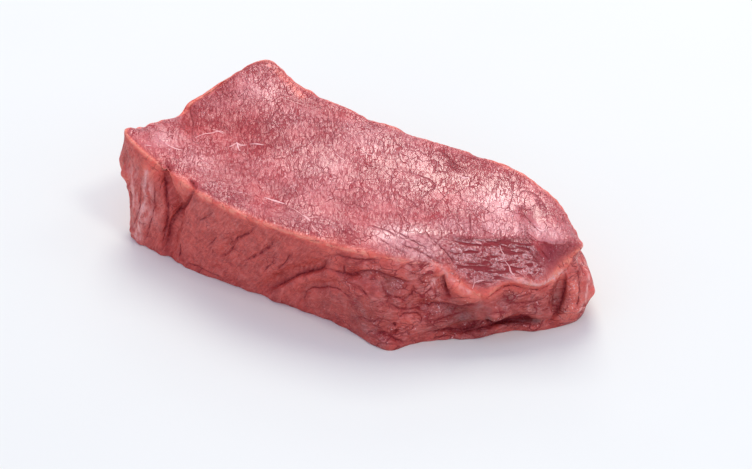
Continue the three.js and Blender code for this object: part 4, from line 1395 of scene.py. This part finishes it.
class BeefLooks(PropertyGroup):
    """Colours and roughness of the meat and fat."""

    face_dark: colour_property("Face Dark", "Darker tone of the cut face", (0.46, 0.037, 0.040))
    face_light: colour_property("Face Light", "Lighter tone of the cut face", (0.63, 0.078, 0.077))
    # Also painted highlight on the facet's crests
    grain: colour_property("Grain", "Pale grains and fibre ends", (0.72, 0.20, 0.18))
    side_dark: colour_property("Side Dark", "Darker tone of the sides", (0.465, 0.050, 0.039))
    side_light: colour_property("Side Light", "Lighter tone of the sides", (0.72, 0.112, 0.083))
    # Painted shade: darker red low on the sides, in recesses and on the far side
    side_shade: colour_property("Deep", "Darker meat low on the sides", (0.31, 0.045, 0.035))
    # Orange of the thin rim, painted brighter for light shining through it
    rim: colour_property("Rim", "Thin orange edge of the cut face", (0.94, 0.14, 0.095))
    # Painted highlight along the thinnest part of the rim
    rim_highlight_colour: colour_property("Rim Light", "Thinnest part of the orange edge", (1.0, 0.30, 0.20))
    # Painted sheen: a pale hazy highlight on the cut face
    sheen: colour_property("Sheen", "Smooth film that hazes the cut face", (0.84, 0.35, 0.35))
    # Painted shade: dark red below the scarp's edge, in the hollows and on the facet's triangle
    shade: colour_property("Shade", "Deep red of the freshly cut facet", (0.36, 0.022, 0.036))
    # Browned meat, and painted shade in the hollows and under the ledge
    browned_and_shade: colour_property("Brown", "Dried meat in the hollows", (0.22, 0.06, 0.05))
    gap: colour_property("Gap", "Fine gaps between the bundles of the cut face", (0.40, 0.024, 0.033))
    # Also the painted shade in the folds and the facet's troughs
    crack: colour_property("Crack", "Depth of cracks and folds", (0.27, 0.014, 0.020))
    # Also painted sheen at the near shoulder and highlights along the lip's edge
    film: colour_property("Film", "Pale films of fat in the surface", (0.95, 0.43, 0.385))
    # Also the colour of painted glints and glint specks
    fat: colour_property("Fat", "White strands of fat", (1.0, 0.60, 0.58))
    floor: colour_property("Floor", "Floor under the slab", (0.85, 0.90, 0.825))
    face_roughness: share_property("Face Roughness", "Roughness of the cut face", 0.36)
    side_roughness: share_property("Side Roughness", "Roughness of the sides", 0.48)


class BeefSizes(PropertyGroup):
    """The slab's size, how finely it is divided, and how stout its strands of fat are. The folds
    keep their own places when the size changes."""

    length: size_property("Length", "Length that the stations are shares of", LENGTH)
    width: size_property("Width", "Width that the stations are shares of", WIDTH)
    thickness: size_property("Thickness", "Thickness that the stations are shares of", THICKNESS)
    columns: IntProperty(name="Columns", description="Divisions along the slab", default=236, min=40)
    rows: IntProperty(name="Rows", description="Divisions across the slab", default=100, min=20)
    layers: IntProperty(name="Layers", description="Divisions up the slab's sides", default=70, min=10)
    strand_scale: FloatProperty(
        name="Strand Width", description="Width of the strands, as a share of their own", default=1.0, min=0.1
    )


class MEAT_OT_add_slab(Operator):
    """Add the slab of beef with its folds"""

    bl_idname = "meat.add_slab"
    bl_label = "Add Beef Slab"

    def execute(self, context):
        sizes = context.scene.beef_sizes
        size = np.array([sizes.length, sizes.width, sizes.thickness]) / METRES
        slab, values = beef_shape(size, sizes.columns, sizes.rows, sizes.layers)
        material = beef_material(context.scene.beef_looks)
        piece = new_mesh("beef", slab.points, slab.squares.tolist(), material)
        for name, numbers in values.items():
            set_values(piece, name, numbers)
        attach(piece, "root")
        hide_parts("tenderloin")
        return {"FINISHED"}


class MEAT_OT_add_fat_strands(Operator):
    """Add the strands of white fat and sinew that lie on the slab"""

    bl_idname = "meat.add_fat_strands"
    bl_label = "Add Fat Strands"

    def execute(self, context):
        seen = SeenSurface(*read_mesh("beef"))
        scale = context.scene.beef_sizes.strand_scale
        shapes = []
        faces = []
        white = []
        count = 0
        for pixels, width, whiteness in FAT_STRANDS.values():
            places, normals = seen.cast(open_curve(pixels, 6))
            if len(places) < 3:
                continue
            points, squares, ends = strand_shape(places, normals, width * scale)
            shapes.append(points)
            faces += (squares + count).tolist() + (ends + count).tolist()
            white.append(np.full(len(points), whiteness))
            count += len(points)
        material = fat_material(context.scene.beef_looks)
        piece = new_mesh("fat_strands", np.concatenate(shapes), faces, material)
        set_values(piece, "white", np.concatenate(white))
        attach(piece, "root")
        return {"FINISHED"}


def add_area_light(name, place, aim, size, power, tint):
    """A soft rectangular light, turned towards its aim."""
    light = bpy.data.lights.new(name, "AREA")
    light.shape = "RECTANGLE"
    light.size, light.size_y = size
    light.energy = power
    light.color = tint
    lamp = bpy.data.objects.new(name, light)
    lamp.location = place
    lamp.rotation_euler = (Vector(aim) - Vector(place)).to_track_quat("-Z", "Y").to_euler()
    bpy.context.collection.objects.link(lamp)


class MEAT_OT_add_stage(Operator):
    """Add the pale floor, the soft lights and the camera"""

    bl_idname = "meat.add_stage"
    bl_label = "Add Stage"

    def execute(self, context):
        half = FLOOR_HALF
        corners = np.array([(-half, -half, 0), (half, -half, 0), (half, half, 0), (-half, half, 0)])
        floor = new_mesh("floor", corners, [[0, 1, 2, 3]], floor_material(context.scene.beef_looks))
        for name, light in LIGHTS.items():
            add_area_light(name, *light)

        place, _, _, back = camera_frame()
        lens = bpy.data.cameras.new("photo_camera")
        lens.lens = CAMERA_LENS
        lens.sensor_width = CAMERA_SENSOR
        lens.sensor_fit = "HORIZONTAL"
        camera = bpy.data.objects.new("photo_camera", lens)
        camera.location = Vector(place * METRES)
        camera.rotation_euler = Vector(back).to_track_quat("Z", "Y").to_euler()
        context.collection.objects.link(camera)
        context.scene.camera = camera

        world = bpy.data.worlds.new("studio")
        world.use_nodes = True
        background = world.node_tree.nodes["Background"]
        background.inputs["Color"].default_value = (*SKY_TINT, 1.0)
        background.inputs["Strength"].default_value = SKY_STRENGTH
        context.scene.world = world
        context.scene.view_settings.view_transform = "Standard"
        return {"FINISHED"}


OPERATORS = (MEAT_OT_add_slab, MEAT_OT_add_fat_strands, MEAT_OT_add_stage)


class MEAT_PT_panel(Panel):
    """Lists the sizes, the looks and the pieces"""

    bl_label = "Beef Tenderloin"
    bl_idname = "MEAT_PT_panel"
    bl_space_type = "VIEW_3D"
    bl_region_type = "UI"
    bl_category = "Beef"

    def draw(self, context):
        for group in (context.scene.beef_sizes, context.scene.beef_looks):
            for name in group.__annotations__:
                self.layout.prop(group, name)
        for operator in OPERATORS:
            self.layout.operator(operator.bl_idname)


CLASSES = (BeefLooks, BeefSizes, *OPERATORS, MEAT_PT_panel)


def register():
    for item in CLASSES:
        bpy.utils.register_class(item)
    bpy.types.Scene.beef_looks = PointerProperty(type=BeefLooks)
    bpy.types.Scene.beef_sizes = PointerProperty(type=BeefSizes)


def unregister():
    del bpy.types.Scene.beef_sizes
    del bpy.types.Scene.beef_looks
    for item in reversed(CLASSES):
        bpy.utils.unregister_class(item)


def main():
    register()
    bpy.ops.meat.add_slab()
    bpy.ops.meat.add_fat_strands()
    bpy.ops.meat.add_stage()


if __name__ == "__main__":
    main()
